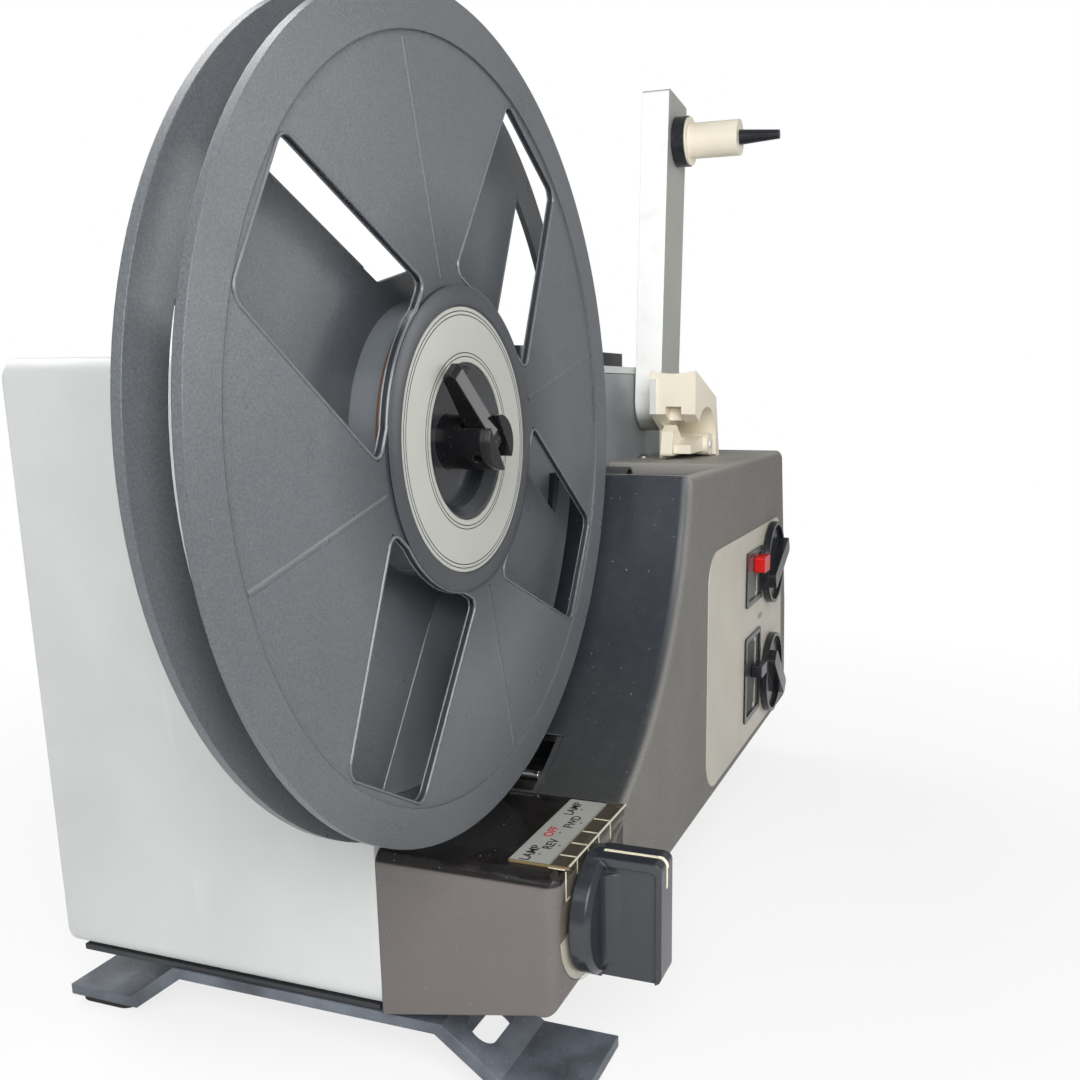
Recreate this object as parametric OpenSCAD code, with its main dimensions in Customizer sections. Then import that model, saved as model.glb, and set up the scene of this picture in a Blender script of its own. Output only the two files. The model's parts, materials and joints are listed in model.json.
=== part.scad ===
// Silent movie projector for 8 mm film: folding supply arm, automatic film path, take-up reel in place.
// Millimetres. +X is the way the lens looks, -Y the side where the operator stands, +Z up.
// Places are measured from the take-up reel: x and z from its axis, y from its front face.
// place() then moves everything to the middle of the footprint, at table height.

/* [Stance] */
// Height of the take-up reel's axis above the table, beyond the reel's own radius
axis_h = 70; // [67:1:81]
// Thickness of the rubber under the feet
pad_t = 2; // [1.5:0.5:3]

/* [Main housing] */
// Rear face behind the reel axis
body_rear = 8; // [8:0.5:20]
// Length of the housing along the lens axis
body_len = 263; // [258:1:285]
// Top of the housing above the reel axis
body_top = 19.5; // [17:0.5:24]
// Height of the housing below the reel's rim
body_h = 51.5; // [45:0.5:53]
// Depth of the housing behind the mechanism plate
body_depth = 100; // [96:1:120]
// Wall of the housing shell
wall = 2.5; // [2:0.1:3]
// Corner radius of the housing outline
corner_r = 6; // [4:0.5:8]
// Thickness of the mechanism plate
plate_t = 3; // [2:0.5:4]
// Thickness of the base plate
base_t = 1.6; // [1.2:0.1:2]

/* [Operator cover] */
// Control face in front of the reel's front face
cover_stand = 22.5; // [20:0.5:26]
// Top of the switch block below the reel's rim
block_drop = 8.5; // [5:0.5:10]
// Clearance of the curved recess round the reel
recess_gap = 16; // [14:0.5:18]
// Deck below the reel axis
deck_drop = 15; // [13:0.5:17]
// Front edge of the deck in front of the reel axis
cover_front = 252; // [248:1:262]
// Forward rake of the upper front face
rake_upper = 16; // [8:1:20]
// Forward rake of the lower front face
rake_lower = 6; // [3:1:9]
// Height of the knee in the front face below the reel axis
knee_drop = 84; // [75:1:95]
// Lower edge of the control face below the top of the switch block
face_drop = 35.5; // [34:0.5:37]
// Wall of the operator cover
cover_wall = 2.5; // [2:0.1:3]
// Rounding of the cover's outer edges
edge_r = 3.5; // [2:0.5:4]
// Depth of the tray sunk into the deck
tray_depth = 4; // [3:0.5:5]
// Length of the tray
tray_len = 53; // [40:1:58]

/* [Reel] */
// Radius of the reel flanges
reel_r = 89; // [86:0.5:90]
// Width of the reel over both flanges
reel_w = 13; // [12.5:0.1:14]
// Thickness of a flange
flange_t = 2; // [1.4:0.1:2.4]
// Width of the raised rim band
rim_w = 9.5; // [7:0.5:12]
// Radius of the hub ring
hub_r = 33; // [32:0.5:36]
// Radius of the film core
core_r = 30.5; // [28:0.5:31]
// Outer radius of the silver ring on the hub
label_r = 28.8; // [24:0.2:29.2]
// Radius of the hub recess
recess_r = 17; // [13:0.5:19]
// Radius of the take-up spindle
spindle_r = 6; // [5:0.1:6.3]
// Length of the reel latch
latch_len = 19; // [15:0.5:22]

/* [Supply arm] */
// Arm pivot in front of the reel axis
arm_x = 201; // [198:0.5:206]
// Arm pivot above the reel axis
arm_rise = 7; // [6:0.5:9]
// Width of the arm
arm_w = 24; // [20:0.5:26]
// Thickness of the arm
arm_t = 10.5; // [9:0.5:12]
// Pivot to supply spindle
arm_len = 97.3; // [92:0.1:110]
// Forward lean of the arm
arm_lean = 4.6; // [0:0.1:8]
// Radius of the reel seat on the supply spindle
seat_r = 6.35; // [6:0.05:6.4]
// Length of the reel seat
seat_len = 19; // [16:0.5:22]

/* [Controls] */
// Rear edge of the control panel in front of the reel axis
panel_x = 125; // [118:1:130]
// Lower edge of the control panel below the top of the switch block
panel_drop = 29.5; // [26:0.5:31]
// Height of the control panel
panel_h = 84.5; // [82:0.5:86]
// Thickness of the control panel
panel_t = 0.4; // [0.3:0.1:1]
// Radius of the two round knobs
knob_r = 17; // [14:0.5:18]
// Radius of the mode knob
mode_r = 15.5; // [13:0.5:16.5]
// Reach of the mode knob's grip in front of the control face
mode_reach = 20.5; // [16:0.5:24]
// Travel of the film format slider
format_travel = 9; // [7:0.5:10]
// Travel of the framing slider
framing_travel = 21; // [16:0.5:22]

/* [Film path and lens] */
// Film plane in front of the reel axis
gate_x = 205; // [203:0.5:207]
// Lens axis below the reel axis
lens_drop = 50; // [48:0.5:52]
// Radius of the lens barrel
lens_r = 14; // [12:0.5:15]
// Length of the lens barrel
lens_len = 72; // [68:1:80]

/* [Drive and lamp] */
// Radius of the three-bladed shutter
shutter_r = 33; // [30:0.5:34]
// Radius of the motor
motor_r = 28; // [24:0.5:29]
// Length of the motor
motor_len = 65; // [55:1:70]
// Radius of the lamp reflector
lamp_r = 21; // [18:0.5:22]

/* [Handle and feet] */
// Length of the carrying handle
handle_len = 108; // [95:1:112]
// Depth of the carrying handle
handle_d = 42; // [36:1:46]
// Thickness of the carrying handle
handle_t = 5; // [4:0.5:7]
// Width of the rear foot strap
strap_w = 27; // [22:0.5:30]
// Thickness of the rear foot strap
strap_t = 3; // [2.5:0.5:4]
// Radius of the front foot
foot_r = 14; // [11:0.5:15]
// Travel of the front foot
foot_travel = 14; // [8:1:15]

/* [Hidden] */
$fn = 64;
// Fits
run_clear = 0.05;
free_clear = 0.3;
seat_clear = 0.2;
cut = 1;

// Planes and edges
wall_y = reel_w + 1 + arm_t + 0.5;
back_y = wall_y + body_depth;
face_y = -cover_stand;
body_x0 = -body_rear;
body_x1 = body_x0 + body_len;
body_z1 = body_top;
body_z0 = -reel_r - body_h;
base_z = body_z0 - base_t;
table_z = -reel_r - axis_h;
deck_z = -deck_drop;
block_z = -reel_r - block_drop;
face_z = block_z - face_drop;
recess_R = reel_r + recess_gap;
block_x1 = sqrt(pow(recess_R, 2) - pow(block_z, 2));
deck_x0 = sqrt(pow(recess_R, 2) - pow(deck_z, 2));
knee_x = cover_front + rake_upper;
toe_x = knee_x + rake_lower;
toe_z = body_z0 - 0.5;
film_w = 8;
film_y = reel_w / 2;
lens_z = -lens_drop;

// Mode switch
mode_x = 11;
mode_z = block_z - mode_r;
mode_shaft_r = 3;
index_depth = 4.5;
index_t = 1;

// Control panel
panel_z0 = block_z - panel_drop;
panel_z1 = panel_z0 + panel_h;
panel_r = 12;
panel_y = face_y - panel_t;
slider_x = panel_x + 69.5;
bezel_w = 27.5;
bezel_t = 0.7;
bezel_y = panel_y - bezel_t;
stem_x = slider_x + 5;
stem_w = 3.2;
stem_h = 4;
format_z = panel_z1 - 14;
format_h = 6.4;
format_mid = format_z - format_travel / 2;
format_bezel_h = format_travel + format_h + 6.2;
framing_z = panel_z1 - 57;
framing_h = 5;
framing_up = 9;
framing_mid = framing_z + framing_up - framing_travel / 2;
framing_bezel_h = framing_travel + framing_h + 8.5;
focus_x = panel_x + 101;
focus_z = panel_z1 - 17.5;
speed_x = focus_x + 2;
speed_z = focus_z - 48;
knob_shaft_r = 3;
roller_r = 5;

// Lens and gate
lens_travel = 4.5;
lens_x0 = gate_x + lens_travel + 3.5;
lens_bore = lens_r - 2.5;
strip_x1 = focus_x + 7;
rack_t = 2.4;
rack_z = focus_z + roller_r + free_clear;
holder_x0 = strip_x1 + lens_travel + 1.5;
holder_len = 13;
holder_r = lens_r + 3;
gate_t = 2;
gate_h = 50;
guide_x0 = gate_x - 31;
guide_len = 37;
guide_y0 = -4;
guide_y1 = reel_w + 0.5;
guide_foot = deck_z;
guide_top = guide_foot + 33;
arch_r = 14.5;
shoe_pin_x = gate_x - 5;
shoe_pin_z = deck_z + 5;
slot_y0 = film_y - film_w / 2 - 0.5;
slot_y1 = film_y + film_w / 2 + 0.5;
exit_z1 = block_z + 10.5;
exit_y0 = slot_y0 + 3;
exit_y1 = slot_y1 + 3;

// Sprocket, shutter and drive
sprocket_r = 7;
sprocket_x = gate_x + sprocket_r + 0.7;
sprocket_z = lens_z - 32;
shutter_x = gate_x - 26;
shutter_y = film_y + shutter_r - 3.5;
shaft_r = 2.5;
worm_r = 4;
wheel_r = lens_z - sprocket_z - worm_r - free_clear;
wheel_teeth = 30;
pulley_w = 6;
shutter_pulley_r = 7.5;
motor_pulley_r = 5;
belt_t = 2;
pulley_x = shutter_x - 34;
motor_x = body_x0 + 58;
motor_y = wall_y + 55;
motor_z = body_z0 + wall + motor_r + 10;
fan_r = motor_r + 2;
take_up_shaft_r = 3;
clutch_r = 10;
take_up_belt_t = 1.5;
take_up_y = shutter_y + shutter_r + 6;
lamp_x1 = shutter_x - 19;
lamp_len = 25;
condenser_r = 14;
condenser_x = shutter_x - 14;

// Handle and feet
handle_x1 = body_x1 - 47;
handle_x0 = handle_x1 - handle_len;
handle_y0 = wall_y + 9;
handle_pivot_y = handle_y0 + handle_d;
handle_z0 = body_z1 + 0.5;
handle_pivot_z = handle_z0 + handle_t / 2;
handle_bar = 11;
handle_pin_r = 1.5;
lug_t = 7;
strap_x0 = body_x0 + 2;
strap_top = base_z;
foot_mid_y = (wall_y + back_y - 48) / 2;
bend_reach = 16;
foot_pad_len = 21;
strap_half = foot_mid_y - 10;
front_foot_x = body_x1 - 20;
front_foot_y = wall_y + 20;
stem_r = 5;
boss_r = 9;
boss_h = foot_travel + 6;

// Footprint, for the placing of the whole
foot_y1 = foot_mid_y + strap_half + bend_reach + foot_pad_len;
mid_x = (max(toe_x, lens_x0 + lens_len) - max(reel_r, body_rear)) / 2;
mid_y = (face_y - mode_reach + max(back_y, foot_y1)) / 2;

// Shared shapes

function unit(v) = v / norm(v);

module place() translate([-mid_x, -mid_y, -table_z]) children();

// An outline drawn in x and z, made solid from y0 to y1
module along_y(y0, y1) translate([0, y1, 0]) rotate([90, 0, 0]) linear_extrude(y1 - y0) children();

// An outline drawn in y and z, made solid from x0 to x1
module along_x(x0, x1) translate([x0, 0, 0]) rotate([90, 0, 90]) linear_extrude(x1 - x0) children();

module rod_y(r, y0, y1) translate([0, y1, 0]) rotate([90, 0, 0]) cylinder(r = r, h = y1 - y0);

module rod_x(r, x0, x1) translate([x0, 0, 0]) rotate([0, 90, 0]) cylinder(r = r, h = x1 - x0);

module box(p0, p1) translate(p0) cube(p1 - p0);

// Rectangle with round corners, from corner p0 to corner p1
module rounded(p0, p1, r) {
    translate([p0.x + r, p0.y]) square([p1.x - p0.x - 2 * r, p1.y - p0.y]);
    translate([p0.x, p0.y + r]) square([p1.x - p0.x, p1.y - p0.y - 2 * r]);
    for (x = [p0.x + r, p1.x - r], y = [p0.y + r, p1.y - r])
        translate([x, y]) circle(r);
}

// What is cut away to round the corner v between its neighbours a and b
module corner_cut(a, v, b, r) {
    to_a = unit(a - v);
    to_b = unit(b - v);
    half = acos(to_a * to_b) / 2;
    inward = unit(to_a + to_b);
    difference() {
        polygon([v + to_a * r / tan(half), v - inward, v + to_b * r / tan(half), v + inward * r / sin(half)]);
        translate(v + inward * r / sin(half)) circle(r);
    }
}

// Closed polygon with every corner rounded by r
module rounded_polygon(points, r) {
    last = len(points) - 1;
    difference() {
        polygon(points);
        for (i = [0:last])
            corner_cut(points[i == 0 ? last : i - 1], points[i], points[i == last ? 0 : i + 1], r);
    }
}

// Two circles and the straight runs that touch both, as a belt sees them
module two_circle_outline(a, ra, b, rb) hull() {
    translate(a) circle(ra, $fn = 32);
    translate(b) circle(rb, $fn = 32);
}

module belt_outline(a, ra, b, rb, t) difference() {
    two_circle_outline(a, ra + t, b, rb + t);
    two_circle_outline(a, ra, b, rb);
}

// Main housing and what closes it

module housing_outline(inset)
    rounded([body_x0 + inset, body_z0 + inset], [body_x1 - inset, body_z1 - inset], corner_r - inset / 2);

back_x0 = body_x0 + 128;
back_x1 = body_x1 - 20;
back_z0 = body_z0 + 20;
back_z1 = body_z1 - 20;
inlet_x = body_x0 + 40;
inlet_z = body_z0 + 24;
inlet_w = 26;
inlet_h = 18;

module inlet_outline(inset) translate([inlet_x, inlet_z])
    rounded([inset - inlet_w / 2, inset - inlet_h / 2], [inlet_w / 2 - inset, inlet_h / 2 - inset], 2);

// Air inlet slots in the underside, below the fan
module air_slots(z0, z1) for (i = [0:3])
    box([motor_x - 26 + i * 8, motor_y - 20, z0], [motor_x - 22 + i * 8, motor_y + 20, z1]);

// How far bosses and lugs start inside the wall that carries them
root = wall / 2;

module main_housing() color("gainsboro") {
    difference() {
        union() {
            difference() {
                along_y(wall_y, back_y) housing_outline(0);
                along_y(wall_y - cut, back_y - wall) housing_outline(wall);
            }
            // Guide for the stem of the front foot
            translate([front_foot_x, front_foot_y, body_z0 + wall - root]) cylinder(r = boss_r, h = boss_h + root);
        }
        along_y(back_y - wall - cut, back_y + cut) rounded([back_x0, back_z0], [back_x1, back_z1], 4);
        along_y(back_y - wall - cut, back_y + cut) inlet_outline(0);
        translate([front_foot_x, front_foot_y, base_z]) {
            cylinder(r = stem_r + free_clear, h = base_t + wall);
            cylinder(r = stem_r + run_clear, h = base_t + wall + boss_h + cut);
        }
        air_slots(body_z0 - cut, body_z0 + wall + cut);
        for (p = concat(base_screws, strap_screws))
            translate([p.x, p.y, body_z0 - cut]) cylinder(r = screw_r, h = wall + 2 * cut);
    }
    // Lugs that carry the handle
    for (x = [handle_x0 - lug_t - free_clear, handle_x1 + free_clear]) difference() {
        union() {
            translate([0, handle_pivot_y, handle_pivot_z]) rod_x_at(x, handle_t / 2 + 1.5, lug_t);
            box([x, handle_pivot_y - handle_t / 2 - 1.5, body_z1 - root],
                [x + lug_t, handle_pivot_y + handle_t / 2 + 1.5, handle_pivot_z]);
        }
        translate([0, handle_pivot_y, handle_pivot_z]) rod_x_at(x - cut, handle_pin_r, lug_t + 2 * cut);
    }
}

module rod_x_at(x, r, h) rod_x(r, x, x + h);

plate_inset = wall + seat_clear;
lamp_gap = 4;

module mechanism_plate() color("slategray") difference() {
    along_y(wall_y, wall_y + plate_t) housing_outline(plate_inset);
    along_y(wall_y - cut, wall_y + plate_t + cut) {
        circle(bearing_r);
        translate([arm_x, arm_rise]) circle(pivot_r);
        translate([sprocket_x, sprocket_z]) circle(shaft_r + 1);
        rounded([lamp_x1 - lamp_len - lamp_gap, lens_z - lamp_r - lamp_gap],
            [lamp_x1 + lamp_gap / 2, lens_z + lamp_r + lamp_gap], 4);
        rounded([shutter_x - 3, lens_z - shutter_r - 1], [shutter_x + 4, lens_z + shutter_r + 1], 3);
        for (p = post_places) translate(p) circle(screw_r + seat_clear);
    }
}

module base_plate() color("dimgray") difference() {
    box([body_x0 + wall, wall_y + wall, base_z], [body_x1 - wall, back_y - wall, body_z0]);
    translate([front_foot_x, front_foot_y, base_z - cut])
        cylinder(r = stem_r + free_clear, h = base_t + 2 * cut);
    air_slots(base_z - cut, body_z0 + cut);
    for (p = concat(base_screws, strap_screws))
        translate([p.x, p.y, base_z - cut]) cylinder(r = screw_r + seat_clear, h = base_t + 2 * cut);
}

vent_pitch = 9;
vent_h = 4;

module back_cover() color("silver") difference() {
    along_y(back_y - wall, back_y)
        rounded([back_x0 + seat_clear, back_z0 + seat_clear], [back_x1 - seat_clear, back_z1 - seat_clear], 4);
    for (z = [back_z0 + 14 : vent_pitch : back_z1 - 14])
        along_y(back_y - wall - cut, back_y + cut) rounded([back_x0 + 14, z], [back_x1 - 14, z + vent_h], 1.9);
}

inlet_depth = 12;

module mains_inlet() color("black") difference() {
    along_y(back_y - inlet_depth, back_y) inlet_outline(seat_clear);
    along_y(back_y - inlet_depth + wall, back_y + cut) inlet_outline(3);
}

// Operator cover with its switch block, curved recess and deck

tray_x0 = deck_x0 + 3;
tray_x1 = tray_x0 + tray_len;
tray_y0 = face_y + 3;
post_r = 4;
screw_r = 1.5;
post_places = [[body_x0 + 12, face_z + 4], [cover_front - 60, deck_z - 10], [knee_x - 20, face_z + 12],
    [deck_x0 + 16, face_z + 12]];
base_screws = [[body_x1 - 40, wall_y + 14], [body_x1 - 40, back_y - 14]];
strap_screw_half = 21;
strap_screws = [for (s = [-1, 1]) [strap_x0 + strap_w / 2, foot_mid_y + s * strap_screw_half]];

module cover_outline(inset) {
    points = [[body_x0 + inset, toe_z], [body_x0 + inset, deck_z - inset],
        [cover_front - inset, deck_z - inset], [knee_x - inset, -knee_drop], [toe_x - inset, toe_z]];
    difference() {
        polygon(points);
        intersection() {
            circle(recess_R + inset, $fn = 128);
            translate([body_x0 - cut, block_z - inset]) square([2 * recess_R, recess_R]);
        }
        if (inset == 0) {
            corner_cut([body_x0, toe_z], [body_x0, block_z], [block_x1, block_z], edge_r);
            corner_cut(points[1], points[2], points[3], edge_r);
        }
    }
}

// Rounds the edge between the control face and the wall that runs from a to b; the body lies to the left of a-b
module face_edge_cut(a, b, r = edge_r) {
    run = norm(b - a);
    translate([a.x, face_y, a.y]) rotate([0, -atan2(b.y - a.y, b.x - a.x), 0]) difference() {
        box([-cut, -cut, -cut], [run + cut, r, r]);
        translate([0, r, r]) rod_x(r, -2 * cut, run + 2 * cut);
    }
}

// The same edge with a flat chamfer
module face_chamfer(a, b) translate([a.x, face_y, a.y]) rotate([0, -atan2(b.y - a.y, b.x - a.x), 0])
    along_x(-cut, norm(b - a) + cut) polygon([[-cut, -cut], [edge_r + cut, -cut], [-cut, edge_r + cut]]);

// Rounds the edge between the control face and the curved recess
module recess_edge_cut() {
    start = atan2(block_z, block_x1) + 0.3;
    stop = atan2(deck_z, deck_x0);
    rotate([90, 0, 0]) rotate([0, 0, start]) rotate_extrude(angle = stop - start, $fn = 128)
        translate([recess_R, cover_stand]) difference() {
            translate([-cut, -edge_r]) square([edge_r + cut, edge_r + cut]);
            translate([edge_r, -edge_r]) circle(edge_r);
        }
}

slope_y = face_y + edge_r + 3;

module operator_cover() color("dimgray") difference() {
    along_y(face_y, wall_y) cover_outline(0);
    difference() {
        along_y(face_y + cover_wall, wall_y + cut) cover_outline(cover_wall);
        // Pocket that carries the tray, posts for the screws, and the floor
        box([tray_x0 - cover_wall, tray_y0 - cover_wall, deck_z - tray_depth - cover_wall],
            [tray_x1 + cover_wall, wall_y, deck_z]);
        for (p = post_places) translate([p.x, 0, p.y]) rod_y(post_r, face_y, wall_y);
        box([body_x0, face_y, toe_z], [toe_x, wall_y + cut, face_z + cover_wall]);
    }
    // Underside, flat along the control face, that then falls away towards the mechanism plate
    box([body_x0 - cut, face_y - cut, toe_z - cut], [toe_x + cut, slope_y, face_z]);
    translate([0, slope_y, face_z]) rotate([-atan2(face_z - toe_z, wall_y - slope_y), 0, 0])
        box([body_x0 - cut, -cut, -20], [toe_x + cut, wall_y - slope_y + 20, 0]);
    box([tray_x0, tray_y0, deck_z - tray_depth], [tray_x1, wall_y + cut, deck_z + cut]);
    // Rounded edges of the control face
    face_edge_cut([body_x0, face_z], [toe_x, face_z], edge_r + 1);
    face_chamfer([toe_x, toe_z], [knee_x, -knee_drop]);
    face_chamfer([knee_x, -knee_drop], [cover_front, deck_z]);
    face_edge_cut([cover_front, deck_z], [deck_x0, deck_z]);
    face_edge_cut([block_x1 - 1.5 * cut, block_z], [body_x0, block_z]);
    face_edge_cut([body_x0, block_z], [body_x0, face_z]);
    recess_edge_cut();
    // Film slots: in the deck under the inlet guide, and in the curved wall above the switch block
    box([gate_x - 4, slot_y0, deck_z - cover_wall - cut], [gate_x + 4, slot_y1, deck_z + cut]);
    box([block_x1 - 6, exit_y0 - 2, block_z], [block_x1 + 26, exit_y1 + 2, exit_z1]);
    // Openings for the controls, the lens and the screws
    along_y(face_y - cut, face_y + cover_wall + cut) {
        control_openings(run_clear);
        translate([mode_x, mode_z]) circle(mode_shaft_r + run_clear);
    }
    translate([0, film_y, lens_z]) rod_x(lens_r + 0.6, cover_front - 10, toe_x + 10);
    for (p = post_places) translate([p.x, 0, p.y]) rod_y(screw_r + run_clear, wall_y - 14, wall_y + cut);
}

// Control panel with its sliders and knobs

module control_openings(clear) {
    for (s = [[format_mid, format_travel], [framing_mid, framing_travel]])
        translate([stem_x - stem_w / 2 - free_clear, s[0] - s[1] / 2 - stem_h / 2 - free_clear])
            square([stem_w + 2 * free_clear, s[1] + stem_h + 2 * free_clear]);
    for (p = [[focus_x, focus_z], [speed_x, speed_z]]) translate(p) circle(knob_shaft_r + clear);
}

panel_outline_x1 = cover_front - 5;
panel_rake = 12;

module control_panel() color("tan") difference() {
    along_y(panel_y, face_y) {
        points = [[panel_x, panel_z0], [panel_x, panel_z1], [panel_outline_x1, panel_z1],
            [panel_outline_x1 + panel_rake, panel_z0]];
        rounded_polygon(points, panel_r);
    }
    along_y(panel_y - cut, face_y + cut) control_openings(free_clear);
}

module bezel(mid_z, h) color("black") along_y(bezel_y, panel_y) difference() {
    translate([slider_x, mid_z]) rounded([-bezel_w / 2, -h / 2], [bezel_w / 2, h / 2], 1.5);
    translate([slider_x, mid_z]) rounded([3 - bezel_w / 2, 2.2 - h / 2], [bezel_w / 2 - 2, h / 2 - 2.2], 1);
}

module format_bezel() bezel(format_mid, format_bezel_h);

module framing_bezel() bezel(framing_mid, framing_bezel_h);

// Stem through the panel, with a keeper behind the cover's wall
module slider_stem(z) {
    box([stem_x - stem_w / 2, panel_y - free_clear, z - stem_h / 2],
        [stem_x + stem_w / 2, face_y + cover_wall + free_clear, z + stem_h / 2]);
    box([stem_x - 4, face_y + cover_wall + free_clear, z - stem_h / 2 - 1],
        [stem_x + 4, face_y + cover_wall + 2, z + stem_h / 2 + 1]);
}

format_reach = 4.4;
framing_reach = 4.4;
ridge_pitch = 2.2;

module format_slider() color("red") {
    along_y(panel_y - format_reach, panel_y - free_clear)
        rounded([stem_x - 5, format_z - format_h / 2], [stem_x + 5, format_z + format_h / 2], 1);
    slider_stem(format_z);
}

module framing_slider() color("black") {
    difference() {
        along_y(panel_y - framing_reach, panel_y - free_clear)
            rounded([stem_x - 6, framing_z - framing_h / 2], [stem_x + 4, framing_z + framing_h / 2], 0.8);
        // Ridges across its top
        for (i = [0:3]) translate([stem_x - 5 + i * ridge_pitch, 0, 0])
            box([0, panel_y - framing_reach - cut, framing_z + framing_h / 2 - 0.5],
                [ridge_pitch / 2, panel_y - 1, framing_z + framing_h / 2 + cut]);
    }
    slider_stem(framing_z);
}

grip_half = 3.4;
disc_t = 3;
dish_depth = 1.5;
grip_reach = 5.6;

// Dished disc with a raised rim and a bar to grip, turned by the angle given
module grip_knob(angle) {
    difference() {
        rod_y(knob_r, panel_y - disc_t, panel_y - free_clear);
        rod_y(knob_r - 1.5, panel_y - disc_t - cut, panel_y - disc_t + dish_depth);
    }
    rotate([0, angle, 0]) along_y(panel_y - grip_reach, panel_y - disc_t + dish_depth + 0.4) grip_outline();
    rod_y(knob_shaft_r, panel_y - 1, face_y + cover_wall + 3);
}

module grip_outline() rounded([2 - knob_r, -grip_half], [knob_r - 2, grip_half], 1.5);

module focus_knob() color("black") translate([focus_x, 0, focus_z]) {
    grip_knob(-25);
    rod_y(roller_r, face_y + cover_wall + 2, face_y + cover_wall + 9);
}

module speed_knob() color("black") translate([speed_x, 0, speed_z]) {
    grip_knob(40);
    rod_y(knob_shaft_r, face_y + cover_wall, face_y + cover_wall + 12);
}

module speed_control() color("sienna") translate([speed_x, 0, speed_z]) difference() {
    rod_y(11, face_y + cover_wall, face_y + cover_wall + 14);
    rod_y(knob_shaft_r + run_clear, face_y, face_y + cover_wall + 13);
}

// Mode knob on the switch block

mode_disc_t = 5;
mode_bevel = 1.2;
mode_y = face_y - index_t - free_clear;
mode_tip_y = face_y - mode_reach;
mode_grip_w = 9;
scoop = 0.9;
flare = 4.6;

module mode_knob() color("black") translate([mode_x, 0, mode_z]) {
    rod_y(mode_r, mode_y - mode_disc_t + mode_bevel, mode_y);
    translate([0, mode_y - mode_disc_t + mode_bevel, 0]) rotate([90, 0, 0])
        cylinder(r1 = mode_r, r2 = mode_r - mode_bevel, h = mode_bevel);
    difference() {
        along_x(-mode_grip_w / 2, mode_grip_w / 2)
            rounded([mode_tip_y, -mode_r], [mode_y - 1, mode_r], 2);
        // Scooped sides
        for (s = [-1, 1]) translate([s * mode_grip_w / 2, 0, 0]) along_x(-scoop, scoop)
            rounded([mode_tip_y + 1.6, -mode_r - 4], [mode_y - mode_disc_t + 1, mode_r - 2.2], 1.5);
    }
    // Foot of the wing
    for (s = [0, 1]) mirror([s, 0, 0]) along_z(4 - mode_r, mode_r - 4)
        translate([mode_grip_w / 2 - 1.2, mode_y - mode_disc_t + 0.4]) difference() {
            translate([0, -flare]) square([flare, flare]);
            translate([flare + 0.3, -flare - 0.3]) circle(flare);
        }
    rod_y(mode_shaft_r, mode_y - 1, face_y + cover_wall + 8);
}

module mode_switch() color("saddlebrown") translate([mode_x, 0, mode_z]) difference() {
    box([-14, face_y + cover_wall, -11], [14, face_y + cover_wall + 20, 11]);
    rod_y(mode_shaft_r + run_clear, face_y, face_y + cover_wall + 9);
}

label_x0 = body_x0 + 6;
label_d = 10.3;
label_t = 0.4;

module label_plate() color("silver")
    box([label_x0, face_y + index_depth, block_z],
        [block_x1 - 1, face_y + index_depth + label_d, block_z + label_t]);

module index_cover() color("beige", 0.5) difference() {
    union() {
        box([label_x0, face_y - index_t, block_z - edge_r],
            [block_x1 - 1, face_y + index_depth - seat_clear, block_z + index_t]);
        along_y(face_y - index_t, face_y) {
            translate([mode_x, mode_z]) circle(mode_r + 2);
            translate([label_x0, mode_z]) square([block_x1 - 1 - label_x0, block_z + index_t - mode_z]);
        }
    }
    // The cover bends over the block's edge
    box([label_x0 - cut, face_y, block_z - edge_r - cut], [block_x1, face_y + index_depth, block_z]);
    along_y(face_y - index_t - cut, face_y + cut) translate([mode_x, mode_z]) circle(mode_shaft_r + 1);
}

// Film inlet on the deck

saddle_r = 35;
saddle_depth = 1.2;

module guide_hood() difference() {
    along_y(guide_y0, guide_y1) difference() {
        polygon([[guide_x0, guide_foot + 17], [guide_x0, guide_top],
            [guide_x0 + guide_len - 6, guide_foot + 23], [guide_x0 + guide_len, guide_foot],
            [guide_x0 + guide_len - 4, guide_foot]]);
        translate([guide_x0 + 35, guide_top + 26]) circle(28);
    }
    along_y(guide_y0 - cut, guide_y1 - 2.5) {
        translate([guide_x0 + 17, guide_foot + 5]) circle(arch_r);
        translate([guide_x0 + 17 - arch_r, guide_foot - cut]) square([2 * arch_r, 6 + cut]);
    }
    // Notch for the film in the rear wall, saddle along the top edge
    box([guide_x0 - cut, film_y - 5, guide_foot + 10], [guide_x0 + 6, film_y + 1, guide_foot + 19.8]);
    translate([0, (guide_y0 + guide_y1) / 2, guide_top + saddle_r - saddle_depth])
        rod_x(saddle_r, guide_x0 - cut, guide_x0 + guide_len);
}

module inlet_guide() color("beige") {
    guide_hood();
    // Wall on the far side, down to the deck
    box([guide_x0 + 12, guide_y1 - 2.5, guide_foot], [guide_x0 + guide_len - 2, guide_y1, guide_foot + 19]);
}

module inlet_shoe() color("wheat") translate([shoe_pin_x, 0, shoe_pin_z]) {
    difference() {
        union() {
            rod_y(4.2, guide_y0 + 1, guide_y1 - 3);
            along_y(guide_y1 - 8, guide_y1 - 3.4)
                rounded_polygon([[-24.5, -3.6], [-22.5, 5.4], [-18, 8], [-11, 3], [2, 3], [2, -3.2]], 1);
            along_y(guide_y0 + 3, guide_y1 - 4)
                polygon([[-21, -2.8], [-21, 0.5], [0, 3.6], [0, -2.6]]);
        }
        rod_y(1.5 + run_clear, guide_y0, guide_y1);
    }
}

module inlet_strips() color("white") {
    box([guide_x0 - 0.8, guide_y1 - 2.5, guide_foot + 17], [guide_x0, guide_y1, guide_top - 3]);
    rod_at(shoe_pin_x, shoe_pin_z, 1.5, guide_y0 + 0.5, guide_y1 - 2.5);
}

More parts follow.
